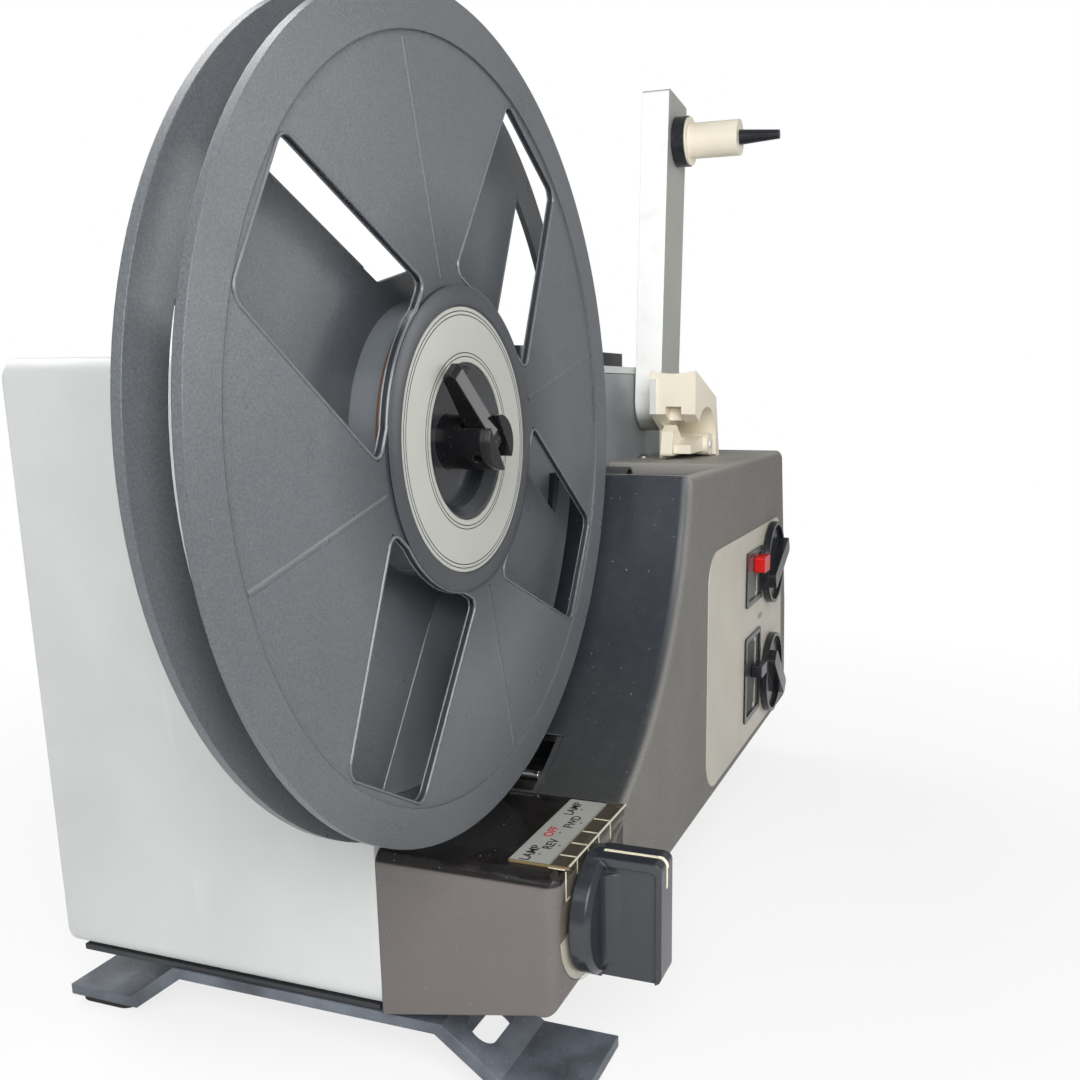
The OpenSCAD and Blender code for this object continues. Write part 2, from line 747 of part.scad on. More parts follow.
module rod_at(x, z, r, y0, y1) translate([x, 0, z]) rod_y(r, y0, y1);

module guide_hook() color("silver") along_y(film_y - 6, film_y + 2) difference() {
    translate([tray_x0 + 4.5, deck_z - 2]) circle(4);
    translate([tray_x0 + 4.5, deck_z - 2]) circle(3.2);
    translate([tray_x0, deck_z - tray_depth - 12]) square([16, 12]);
}

// Film exit above the switch block

module exit_guide() color("black") difference() {
    box([block_x1 - 5, exit_y0 - 2 + seat_clear, block_z + seat_clear],
        [block_x1 + 24, exit_y1 + 2 - seat_clear, exit_z1 - seat_clear]);
    box([block_x1 - 6, exit_y0, block_z + 1.5], [block_x1 + 25, exit_y1, exit_z1 - 1.5]);
    rod_y(recess_R + 0.5, exit_y0 - 4, exit_y1 + 4, $fn = 128);
}

module exit_pin() color("silver") rod_at(block_x1 + 7, block_z + 2.8, 1.3, exit_y0, exit_y1);

// Take-up reel and its spindle

bearing_r = 5;
pivot_r = 5;
bearing_len = 14;

module spindle_bearing() color("goldenrod") difference() {
    union() {
        rod_y(bearing_r, wall_y - 2, wall_y + bearing_len);
        rod_y(bearing_r + 0.4, wall_y - 3, wall_y);
    }
    rod_y(take_up_shaft_r + run_clear, wall_y - 4, wall_y + bearing_len + cut);
}

latch_dir = 125;
latch_w = 4;
latch_y = -4.5;
latch_pin_r = 1;
latch_r = 2.8;
nose_y = -8;

module take_up_spindle() color("black") difference() {
    union() {
        rod_y(spindle_r, nose_y, reel_w);
        rod_y(10, reel_w, reel_w + 2.5);
        rod_y(take_up_shaft_r, reel_w, take_up_y + pulley_w + 2);
    }
    // Slot in the nose for the latch
    rotate([0, -latch_dir, 0]) {
        box([-spindle_r - cut, nose_y - cut, -latch_w / 2 - free_clear],
            [spindle_r + cut, latch_y + 4.2, latch_w / 2 + free_clear]);
        translate([0, latch_y, 0]) cylinder(r = latch_pin_r + run_clear, h = 4 * spindle_r, center = true);
    }
}

module spindle_latch() color("black") rotate([0, -latch_dir, 0]) {
    along_z(-latch_w / 2, latch_w / 2) translate([0, latch_y]) {
        circle(latch_r);
        polygon([[0, 0.1 - latch_r], [0, latch_r - 0.1], [3, latch_r - 0.1], [latch_len - 1, 4],
            [latch_len, 3.2], [latch_len, 1.8], [latch_len - 1.2, 1], [2.4, 0.1 - latch_r]]);
    }
    translate([0, latch_y, 0]) cylinder(r = latch_pin_r, h = 2 * spindle_r - 3, center = true);
}

module along_z(z0, z1) translate([0, 0, z0]) linear_extrude(z1 - z0) children();

// Front windows narrow towards the rim. Behind each stands a spoke of the rear flange with the same outline.
window_r0 = hub_r - 2.5;
hub_land = 0.6;
window_r1 = reel_r - rim_w;
window_half0 = 20.1;
window_half1 = 15.6;
window_round = 3;

module front_window() difference() {
    points = [[window_r0, -window_half0], [window_r0, window_half0],
        [window_r1 - 1.4, window_half1], [window_r1 - 1.4, -window_half1]];
    polygon(points);
    corner_cut(points[1], points[2], points[3], window_round);
    corner_cut(points[2], points[3], points[0], window_round);
    circle(hub_r + hub_land);
}

// Opening between two spokes of the rear flange
module rear_window() intersection() {
    inner = [window_r0 + window_half0, window_r0 - window_half0] / sqrt(2);
    outer = [window_r1 + window_half1, window_r1 - window_half1] / sqrt(2);
    far = inner + 2 * (outer - inner);
    points = [[inner.x, -inner.y], inner, far, [far.x, -far.y]];
    difference() {
        polygon(points);
        corner_cut(points[0], points[1], points[2], window_round);
        corner_cut(points[3], points[0], points[1], window_round);
    }
    circle(window_r1);
}

module reel_front_flange() color("dimgray") {
    difference() {
        rod_y(reel_r, 0.6, flange_t);
        rod_y(core_r - 1 + seat_clear, -cut, flange_t + cut);
        for (k = [0:3]) along_y(-cut, flange_t + cut) rotate(60 + 90 * k) front_window();
    }
    difference() {
        rod_y(reel_r, 0, 0.6);
        rod_y(window_r1 + 1, -cut, 1);
    }
    difference() {
        rod_y(hub_r, 0, 0.6);
        rod_y(core_r - 1 + seat_clear, -cut, 1);
    }
}

module reel_back_flange() color("dimgray") difference() {
    union() {
        rod_y(reel_r, reel_w - flange_t, reel_w - 0.6);
        difference() {
            rod_y(reel_r, reel_w - 0.6, reel_w);
            rod_y(window_r1 + 1, reel_w - 1, reel_w + cut);
        }
        rod_y(hub_r, reel_w - 0.6, reel_w);
    }
    rod_y(spindle_r + run_clear, 0, reel_w + cut);
    for (k = [0:3]) along_y(reel_w - flange_t - cut, reel_w + cut) rotate(15 + 90 * k) rear_window();
}

module reel_core() color("black") difference() {
    union() {
        rod_y(core_r, flange_t, reel_w - flange_t);
        rod_y(core_r - 1, 0.4, flange_t);
    }
    rod_y(spindle_r + run_clear, 0, reel_w);
    rod_y(recess_r - 2.7, 0, 5);
    translate([0, 2.6, 0]) rotate([90, 0, 0]) cylinder(r1 = recess_r - 2.7, r2 = recess_r, h = 2.6);
}

module reel_label() color("silver") difference() {
    rod_y(label_r, 0, 0.4);
    rod_y(recess_r + 0.2, -cut, 1);
}

// Supply arm and its spindle

arm_y0 = reel_w + 1;
arm_y1 = arm_y0 + arm_t;
spin_y = arm_y0;
arm_axle_r = 3;

module on_arm() translate([arm_x, 0, arm_rise]) rotate([0, arm_lean, 0]) children();

module supply_arm() color("darkgray") on_arm() difference() {
    along_y(arm_y0, arm_y1) {
        circle(arm_w / 2);
        rounded([-arm_w / 2, 0], [arm_w / 2, arm_len + 16], 1.5);
    }
    rod_y(pivot_r + run_clear, arm_y0 + 1.5, arm_y1 + cut);
    translate([0, 0, arm_len]) rod_y(arm_axle_r + run_clear, arm_y0 - cut, arm_y1 - 1.5);
}

module arm_pivot() color("silver") translate([arm_x, 0, arm_rise]) {
    rod_y(pivot_r, arm_y0 + 2, wall_y + plate_t);
    rod_y(pivot_r + 3, wall_y + plate_t, wall_y + plate_t + 4);
}

module on_axle() on_arm() translate([0, 0, arm_len]) children();

collar_r = 9;
collar_t = 5;
shoulder_t = 0.8;
seat_y1 = spin_y - collar_t - shoulder_t;
tip_len = 15;

module spindle_collar() color("black") on_axle() {
    rod_y(collar_r, spin_y - collar_t, spin_y - free_clear);
    rod_y(arm_axle_r, spin_y - 1, arm_y1 - 2);
}

module spindle_sleeve() color("beige") on_axle() {
    rod_y(collar_r - 0.4, seat_y1, spin_y - collar_t);
    rod_y(seat_r, seat_y1 - seat_len, seat_y1);
}

module spindle_tip() color("black") on_axle() translate([0, seat_y1 - seat_len, 0]) rotate([90, 0, 0])
    cylinder(r1 = 2.7, r2 = 1.6, h = tip_len);

// Carrying handle, lying on the top

module carry_handle() color("black") difference() {
    union() {
        along_z(handle_z0, handle_z0 + handle_t) difference() {
            rounded([handle_x0, handle_y0], [handle_x1, handle_pivot_y + handle_bar], 8);
            rounded([handle_x0 + handle_bar, handle_y0 + handle_bar],
                [handle_x1 - handle_bar, handle_pivot_y + 3 * handle_bar], 5);
            translate([handle_x0 - cut, handle_pivot_y]) square([handle_len + 2 * cut, 3 * handle_bar]);
        }
        for (x = [handle_x0, handle_x1 - handle_bar])
            translate([0, handle_pivot_y, handle_pivot_z]) rod_x_at(x, handle_t / 2, handle_bar);
    }
    translate([0, handle_pivot_y, handle_pivot_z])
        rod_x(handle_pin_r + run_clear, handle_x0 - cut, handle_x1 + cut);
}

module handle_pins() color("silver") for (x = [handle_x0 - lug_t, handle_x1 - handle_bar + 1])
    translate([0, handle_pivot_y, handle_pivot_z]) rod_x_at(x, handle_pin_r, lug_t + handle_bar - 1);

// Feet

pad_z = table_z + pad_t;

pad_start = strap_half + bend_reach;
pad_end = pad_start + foot_pad_len;
bend_shift = 2;

module strap_outline() translate([foot_mid_y, 0]) polygon([
    [pad_end, pad_z + strap_t], [pad_start, pad_z + strap_t], [strap_half, strap_top],
    [-strap_half, strap_top], [-pad_start, pad_z + strap_t], [-pad_end, pad_z + strap_t],
    [-pad_end, pad_z], [bend_shift - pad_start, pad_z], [bend_shift - strap_half, strap_top - strap_t],
    [strap_half - bend_shift, strap_top - strap_t], [pad_start - bend_shift, pad_z], [pad_end, pad_z]]);

module rear_foot() color("darkslategray") difference() {
    along_x(strap_x0, strap_x0 + strap_w) strap_outline();
    // Oblong hole in each slope
    for (s = [-1, 1]) along_z(table_z, strap_top + cut)
        translate([strap_x0 + strap_w / 2, foot_mid_y + s * (strap_half + bend_reach / 2 - 1)])
            rounded([-8, -3.5], [8, 3.5], 3.4);
    for (p = strap_screws) translate([p.x, p.y, strap_top - strap_t - cut])
        cylinder(r = screw_r + seat_clear, h = strap_t + 2 * cut);
}

module foot_pads() color("black") for (s = [-1, 1])
    along_z(table_z, pad_z) translate([strap_x0, foot_mid_y + s * (strap_half + bend_reach + foot_pad_len / 2)])
        rounded([1, -foot_pad_len / 2 + 1], [strap_w - 1, foot_pad_len / 2 - 1], 4);

module front_foot() color("black") translate([front_foot_x, front_foot_y, table_z]) {
    cylinder(r = foot_r, h = pad_t + 6);
    cylinder(r = stem_r, h = body_z0 + wall + boss_h - 2 - table_z);
}

// Lens, gate and film drive

module lens_barrel() color("black") difference() {
    translate([0, film_y, lens_z]) difference() {
        union() {
            rod_x(lens_r, lens_x0, lens_x0 + lens_len);
            // Strip that the focus roller drives
            box([focus_x - 10, -lens_r - 8, rack_z - lens_z], [strip_x1, 0, rack_z - lens_z + rack_t]);
        }
        rod_x(lens_bore, lens_x0 + 6, lens_x0 + lens_len + cut);
        rod_x(lens_bore - 3, lens_x0 - cut, lens_x0 + 7);
    }
}

module lens_glass() color("lightcyan", 0.4) translate([0, film_y, lens_z]) {
    rod_x(lens_bore, lens_x0 + lens_len - 12, lens_x0 + lens_len - 7);
    rod_x(lens_bore, lens_x0 + 6, lens_x0 + 10);
}

module lens_holder() color("dimgray") translate([0, film_y, lens_z]) difference() {
    union() {
        rod_x(holder_r, holder_x0, holder_x0 + holder_len);
        box([holder_x0, 0, -holder_r], [holder_x0 + holder_len, wall_y - film_y, holder_r]);
    }
    rod_x(lens_r + run_clear, holder_x0 - cut, holder_x0 + holder_len + cut);
}

module film_gate() color("silver") difference() {
    box([gate_x - gate_t, slot_y0 - 3, lens_z - gate_h / 2], [gate_x, wall_y, lens_z + gate_h / 2]);
    box([gate_x - gate_t - cut, film_y - 2.9, lens_z - 2.15], [gate_x + cut, film_y + 2.9, lens_z + 2.15]);
}

module pressure_plate() color("gray") difference() {
    box([gate_x + 0.6, slot_y0 - 1, lens_z - 14], [gate_x + 2, wall_y, lens_z + 14]);
    translate([0, film_y, lens_z]) rod_x(3.5, gate_x - cut, gate_x + 4);
}

module condenser_lens() color("lightcyan", 0.4) translate([condenser_x, film_y, lens_z]) rotate([0, 90, 0])
    cylinder(r1 = condenser_r, r2 = condenser_r - 1, h = 5);

module condenser_holder() color("silver") translate([0, film_y, lens_z]) difference() {
    union() {
        rod_x(condenser_r + 2, condenser_x - 1, condenser_x + 6);
        box([condenser_x - 1, 0, -6], [condenser_x + 6, wall_y - film_y, 6]);
    }
    rod_x(condenser_r, condenser_x, condenser_x + 7);
    rod_x(condenser_r - 2, condenser_x - 2, condenser_x + 7);
}

lamp_base_r = 6;
lamp_base_len = 5;

module lamp() color("whitesmoke", 0.7) translate([lamp_x1, film_y, lens_z]) rotate([0, -90, 0]) rotate_extrude()
    polygon([[0, 0], [lamp_r, 0], [lamp_r - 2, 5], [lamp_r - 8, lamp_len - 11], [lamp_base_r, lamp_len - 7],
        [lamp_base_r, lamp_len + lamp_base_len], [0, lamp_len + lamp_base_len]]);

module lamp_holder() color("peru") translate([0, film_y, lens_z]) difference() {
    box([lamp_x1 - lamp_len - 16, -9, -9], [lamp_x1 - lamp_len, wall_y - film_y, 9]);
    rod_x(lamp_base_r + seat_clear, lamp_x1 - lamp_len - lamp_base_len - seat_clear, lamp_x1 - lamp_len + cut);
}

blade_gap = 28;

module shutter_disc() color("black") translate([0, shutter_y, lens_z])
along_x(shutter_x, shutter_x + 1) difference() {
    circle(shutter_r);
    circle(shaft_r + run_clear);
    for (k = [0:2]) rotate(60 + 120 * k) intersection() {
        difference() {
            circle(shutter_r + cut);
            circle(12);
        }
        polygon([[0, 0], for (s = [-1, 1]) 2 * shutter_r * [cos(blade_gap), s * sin(blade_gap)]]);
    }
}

module shutter_shaft() color("silver") translate([0, shutter_y, lens_z]) {
    rod_x(shaft_r, pulley_x - 4, sprocket_x + 18);
    rod_x(worm_r, sprocket_x - 7, sprocket_x + 7);
    rod_x(shutter_pulley_r, pulley_x, pulley_x + pulley_w);
    rod_x(7, shutter_x + 1, shutter_x + 5);
}

module shaft_bearings() color("goldenrod") for (x = [pulley_x + pulley_w + 3, sprocket_x + 9])
    translate([x, shutter_y, lens_z]) difference() {
        box([0, wall_y + plate_t - shutter_y, -5], [7, 5, 5]);
        rod_x(shaft_r + run_clear, -cut, 8);
    }

module sprocket() color("ivory") translate([sprocket_x, 0, sprocket_z]) {
    rod_y(sprocket_r - 1, slot_y0 - 1, slot_y1 + 1);
    for (k = [0:11]) rotate([0, 30 * k, 0])
        box([sprocket_r - 1.2, slot_y0 + 0.4, -0.5], [sprocket_r + 0.4, slot_y0 + 1.3, 0.5]);
    rod_y(shaft_r, slot_y1, take_up_y + pulley_w + 2);
    rod_y(clutch_r, take_up_y, take_up_y + pulley_w);
    along_y(shutter_y - 3, shutter_y + 3) {
        circle(wheel_r - 2);
        for (k = [0:wheel_teeth - 1]) rotate(360 / wheel_teeth * k)
            polygon([[wheel_r - 3, -1.6], [wheel_r, -0.7], [wheel_r, 0.7], [wheel_r - 3, 1.6]]);
    }
}

// Motor, belts and mains parts

module motor() color("darkslateblue") translate([0, motor_y, motor_z]) difference() {
    union() {
        rod_x(motor_r, motor_x, motor_x + motor_len);
        box([motor_x + 12, 8 - motor_r, body_z0 + wall - motor_z], [motor_x + motor_len - 12, motor_r - 8, 0]);
    }
    rod_x(shaft_r + run_clear, motor_x - cut, motor_x + motor_len + cut);
}

module motor_rotor() color("silver") translate([0, motor_y, motor_z]) {
    rod_x(shaft_r, motor_x - 24, pulley_x + pulley_w + 3);
    rod_x(motor_pulley_r, pulley_x, pulley_x + pulley_w);
    // Cooling fan
    rod_x(9, motor_x - 22, motor_x - 4);
    rod_x(fan_r, motor_x - 5.5, motor_x - 4);
    for (k = [0:9]) rotate([36 * k, 0, 0]) box([motor_x - 22, 8, -0.7], [motor_x - 5, fan_r - 1, 0.7]);
}

module drive_belt() color("black") along_x(pulley_x + 1, pulley_x + pulley_w - 1)
    belt_outline([motor_y, motor_z], motor_pulley_r + free_clear, [shutter_y, lens_z],
        shutter_pulley_r + free_clear, belt_t);

module take_up_belt() color("black") along_y(take_up_y + 1, take_up_y + pulley_w - 1)
    belt_outline([0, 0], take_up_shaft_r + free_clear, [sprocket_x, sprocket_z], clutch_r + free_clear,
        take_up_belt_t);

trafo_x = pulley_x + pulley_w + 6;
trafo_y = wall_y + 40;
trafo_len = 44;
trafo_h = 36;

module transformer() color("darkkhaki") {
    box([trafo_x, trafo_y + 8, body_z0 + wall], [trafo_x + trafo_len, trafo_y + 38, body_z0 + wall + trafo_h]);
    box([trafo_x + 8, trafo_y, body_z0 + wall + 8],
        [trafo_x + trafo_len - 8, trafo_y + 46, body_z0 + wall + trafo_h - 8]);
}

// Screws that hold the operator cover and the base

screw_head_r = 3;
screw_head_t = 1.6;

// Screw that goes up into the floor of the housing, its head seated below z
module upright_screw(z) {
    translate([0, 0, z - screw_head_t]) cylinder(r = screw_head_r, h = screw_head_t);
    translate([0, 0, z]) cylinder(r = screw_r, h = body_z0 + wall - z);
}

module case_screws() color("silver") {
    for (p = post_places) translate([p.x, 0, p.y]) {
        rod_y(screw_r, wall_y - 12, wall_y + plate_t);
        rod_y(screw_head_r, wall_y + plate_t, wall_y + plate_t + screw_head_t);
    }
    for (p = base_screws) translate([p.x, p.y, 0]) upright_screw(base_z);
    for (p = strap_screws) translate([p.x, p.y, 0]) upright_screw(strap_top - strap_t);
}

place() main_housing();
place() mechanism_plate();
place() base_plate();
place() back_cover();
place() operator_cover();
place() control_panel();
place() format_bezel();
place() framing_bezel();
place() format_slider();
place() framing_slider();
place() focus_knob();
place() speed_knob();
place() speed_control();
place() mode_knob();
place() mode_switch();
place() label_plate();
place() index_cover();
place() inlet_guide();
place() inlet_shoe();
place() inlet_strips();
place() guide_hook();
place() exit_guide();
place() exit_pin();
place() take_up_spindle();
place() spindle_bearing();
place() spindle_latch();
place() reel_front_flange();
place() reel_back_flange();
place() reel_core();
place() reel_label();
place() supply_arm();
place() arm_pivot();
place() spindle_collar();
place() spindle_sleeve();
place() spindle_tip();
place() carry_handle();
place() handle_pins();
place() rear_foot();
place() foot_pads();
place() front_foot();
place() lens_barrel();
place() lens_glass();
place() lens_holder();
place() film_gate();
place() pressure_plate();
place() condenser_lens();
place() condenser_holder();
place() lamp();
place() lamp_holder();
place() shutter_disc();
place() shutter_shaft();
place() shaft_bearings();
place() sprocket();
place() motor();
place() motor_rotor();
place() drive_belt();
place() take_up_belt();
place() transformer();
place() mains_inlet();
place() case_screws();
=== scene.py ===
"""Looks of the movie projector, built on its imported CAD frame."""

import json
import math

import bmesh
import bpy
from mathutils import Matrix, Vector


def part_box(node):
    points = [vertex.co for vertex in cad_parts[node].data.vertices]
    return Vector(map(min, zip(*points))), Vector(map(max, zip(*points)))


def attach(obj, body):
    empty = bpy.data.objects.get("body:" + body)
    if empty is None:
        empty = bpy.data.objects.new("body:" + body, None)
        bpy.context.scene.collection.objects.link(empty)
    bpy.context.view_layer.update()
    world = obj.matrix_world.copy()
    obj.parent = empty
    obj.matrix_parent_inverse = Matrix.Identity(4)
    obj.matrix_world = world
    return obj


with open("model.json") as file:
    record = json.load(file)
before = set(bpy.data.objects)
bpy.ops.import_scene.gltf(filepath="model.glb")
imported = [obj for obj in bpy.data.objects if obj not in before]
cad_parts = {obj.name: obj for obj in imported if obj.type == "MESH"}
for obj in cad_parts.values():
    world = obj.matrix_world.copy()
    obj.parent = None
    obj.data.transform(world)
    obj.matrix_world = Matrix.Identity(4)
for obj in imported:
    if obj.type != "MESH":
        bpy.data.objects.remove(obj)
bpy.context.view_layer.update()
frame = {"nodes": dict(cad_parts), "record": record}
nodes = frame["nodes"]

# Sizes are in millimetres from the take-up reel's axis and front face, as in the part's source
ORIGIN = Vector((98.0, 43.0, -159.0))
MM = 0.001
AXIS = (0.0, 0.0)
BODY = "projector_body"
REEL = "take_up_reel"


def at(x, y, z):
    """A point in millimetres from the reel, as a point of the part's frame in metres."""
    return (Vector((x, y, z)) - ORIGIN) * MM


def srgb(r, g, b):
    """A colour given on a 0 to 255 scale, as the linear colour that a shader takes."""
    scaled = [c / 255 for c in (r, g, b)]
    return tuple(c / 12.92 if c < 0.04045 else ((c + 0.055) / 1.055) ** 2.4 for c in scaled)


def tone(colour, gain, lift=0.0):
    """A colour made lighter or darker."""
    return tuple(min(1.0, c * gain + lift) for c in colour)


def put(name, data):
    """A new object in the scene."""
    thing = bpy.data.objects.new(name, data)
    bpy.context.scene.collection.objects.link(thing)
    return thing


# Materials, with the scales of their noises in repeats per metre

# Most values of a noise lie between these two
NOISE_LOW, NOISE_HIGH = 0.3, 0.7
# Cosine between softened and true normal where an edge begins, and where it is full
EDGE_BEGIN, EDGE_FULL = 0.985, 0.9
# Radii of softened edges and depth of grain, in metres
SMALL_RADIUS, USUAL_RADIUS, COVER_RADIUS = 0.0003, 0.0004, 0.0008
GRAIN_DEPTH = 0.0001
# Scale and detail of the noises that coated surfaces share
FINE_GRAIN, GLOSS_PATCHES = (2500, 2), (60, 4)
SCUFF_LINES, SCUFFED_AREAS = (90, 5), (14, 2)
DUST_SPECKS, WORN_SPOTS = (1500, 1), (160, 4)
SCUFF_STRETCH, SCUFF_WAVE = (1.0, 1.0, 0.16), 1.2
DUST = (0.5, 0.49, 0.46)


class Shader:
    """A principled material whose nodes are added one by one."""

    def __init__(self, name):
        self.material = bpy.data.materials.new(name)
        self.material.use_nodes = True
        self.tree = self.material.node_tree
        self.main = self.tree.nodes["Principled BSDF"]
        source = self.add("ShaderNodeTexCoord")
        self.coords = source.outputs["Object"]
        self.own_normal = source.outputs["Normal"]

    def add(self, kind, **settings):
        node = self.tree.nodes.new(kind)
        for key, value in settings.items():
            setattr(node, key, value)
        return node

    def link(self, source, target):
        self.tree.links.new(source, target)

    def feed(self, socket, value):
        """Sets a socket to a plain value, or links it."""
        if isinstance(value, (int, float)):
            socket.default_value = value
        elif isinstance(value, tuple):
            socket.default_value = (*value, 1.0)
        else:
            self.link(value, socket)

    def noise(self, scale, detail, stretch=(1, 1, 1), distortion=0.0):
        """A noise value from 0 to 1."""
        mapping = self.add("ShaderNodeMapping")
        mapping.inputs["Scale"].default_value = stretch
        self.link(self.coords, mapping.inputs["Vector"])
        node = self.add("ShaderNodeTexNoise")
        node.inputs["Scale"].default_value = scale
        node.inputs["Detail"].default_value = detail
        node.inputs["Distortion"].default_value = distortion
        self.link(mapping.outputs["Vector"], node.inputs["Vector"])
        return node.outputs["Fac"]

    def span(self, value, low, high, to_low=0.0, to_high=1.0):
        """Maps a value's range onto another."""
        node = self.add("ShaderNodeMapRange")
        node.inputs["From Min"].default_value = low
        node.inputs["From Max"].default_value = high
        node.inputs["To Min"].default_value = to_low
        node.inputs["To Max"].default_value = to_high
        self.link(value, node.inputs["Value"])
        return node.outputs["Result"]

    def patches(self, scale, detail, low=0.0, high=1.0):
        """Noise whose middle values run from low to high."""
        return self.span(self.noise(scale, detail), NOISE_LOW, NOISE_HIGH, low, high)

    def along(self, axis, start, stop):
        """0 at one place along an axis and 1 at another, in millimetres from the reel."""
        low, high = (at(place, place, place)["XYZ".index(axis)] for place in (start, stop))
        node = self.add("ShaderNodeSeparateXYZ")
        self.link(self.coords, node.inputs["Vector"])
        return self.span(node.outputs[axis], low, high)

    def vector_math(self, operation, a, b):
        """Vector a, a socket, with the constant vector b."""
        node = self.add("ShaderNodeVectorMath", operation=operation)
        self.link(a, node.inputs[0])
        node.inputs[1].default_value = b
        return node

    def outwards(self, start, stop, to_low=0.0, to_high=1.0):
        """Runs from low to high between two distances from the reel's axis, in millimetres."""
        offset = self.vector_math("SUBTRACT", self.coords, at(0, 0, 0)).outputs["Vector"]
        flat = self.vector_math("MULTIPLY", offset, (1, 0, 1)).outputs["Vector"]
        distance = self.vector_math("LENGTH", flat, (0, 0, 0)).outputs["Value"]
        return self.span(distance, start * MM, stop * MM, to_low, to_high)

    def facing(self, direction):
        """How far a face looks along a direction, from -1 to 1."""
        return self.vector_math("DOT_PRODUCT", self.own_normal, direction).outputs["Value"]

    def math(self, operation, *values):
        node = self.add("ShaderNodeMath", operation=operation)
        for socket, value in zip(node.inputs, values):
            self.feed(socket, value)
        return node.outputs["Value"]

    def times(self, a, b):
        return self.math("MULTIPLY", a, b)

    def mix(self, fac, a, b):
        """Colour a where fac is 0, b where it is 1."""
        node = self.add("ShaderNodeMix", data_type="RGBA")
        self.feed(node.inputs["Factor"], fac)
        first, second = [s for s in node.inputs if s.type == "RGBA"]
        self.feed(first, a)
        self.feed(second, b)
        return [s for s in node.outputs if s.type == "RGBA"][0]

    def layered(self, base, *layers):
        """A base colour with others over it, each given with its share."""
        for share, colour in layers:
            base = self.mix(share, base, colour)
        return base

    def bump(self, height, strength, normal):
        """A normal roughened by a height from 0 to 1."""
        node = self.add("ShaderNodeBump")
        node.inputs["Strength"].default_value = strength
        node.inputs["Distance"].default_value = GRAIN_DEPTH
        self.link(height, node.inputs["Height"])
        self.link(normal, node.inputs["Normal"])
        return node.outputs["Normal"]

    def rounded_normal(self, radius):
        """The surface normal with every sharp edge softened by a radius."""
        node = self.add("ShaderNodeBevel", samples=4)
        node.inputs["Radius"].default_value = radius
        return node.outputs["Normal"]

    def edge(self, normal):
        """1 on the softened edges, 0 on the faces."""
        flat = self.add("ShaderNodeNewGeometry").outputs["True Normal"]
        node = self.add("ShaderNodeVectorMath", operation="DOT_PRODUCT")
        self.link(normal, node.inputs[0])
        self.link(flat, node.inputs[1])
        return self.span(node.outputs["Value"], EDGE_BEGIN, EDGE_FULL)

    def surface(self, base, rough, normal=None, spec=0.5):
        """Sets the principled node's colour, roughness, normal and strength of gloss."""
        self.feed(self.main.inputs["Base Color"], base)
        self.feed(self.main.inputs["Roughness"], rough)
        if normal is not None:
            self.link(normal, self.main.inputs["Normal"])
        self.main.inputs["Specular IOR Level"].default_value = spec


def coated(name, colour, rough, *, spec=0.5, metal=0.0, tint=0.12, grain=0.0, scuff=0.0, dust=0.0,
           edge_wear_and_highlight=0.25, radius=USUAL_RADIUS, mottle=26):
    """Moulded plastic, paint or metal with grain, mottling, scuffs, dust and pale edges: worn, and on
    the gloss black a painted highlight.
    """
    s = Shader(name)
    normal = s.rounded_normal(radius)
    base = s.mix(s.patches(mottle, 4), tone(colour, 1 - tint), tone(colour, 1 + tint, 0.004))
    if scuff:
        lines = s.span(s.noise(*SCUFF_LINES, SCUFF_STRETCH, SCUFF_WAVE), 0.61, 0.68)
        areas = s.span(s.noise(*SCUFFED_AREAS), 0.45, 0.65)
        share = s.times(s.times(lines, areas), scuff)
        base = s.mix(share, base, tone(colour, 1.7, 0.05))
    if dust:
        specks = s.span(s.noise(*DUST_SPECKS), 0.70, 0.76)
        base = s.mix(s.times(specks, dust), base, DUST)
    # Pale edges: worn, and on the gloss black a painted highlight along its edges
    if edge_wear_and_highlight:
        worn = s.times(s.edge(normal), s.span(s.noise(*WORN_SPOTS), 0.35, 0.75))
        base = s.mix(s.times(worn, edge_wear_and_highlight), base, tone(colour, 1.6, 0.05))
    if grain:
        normal = s.bump(s.noise(*FINE_GRAIN), grain, normal)
    gloss = s.patches(*GLOSS_PATCHES, max(0.02, rough - 0.06), rough + 0.07)
    s.surface(base, gloss, normal, spec)
    s.main.inputs["Metallic"].default_value = metal
    return s.material


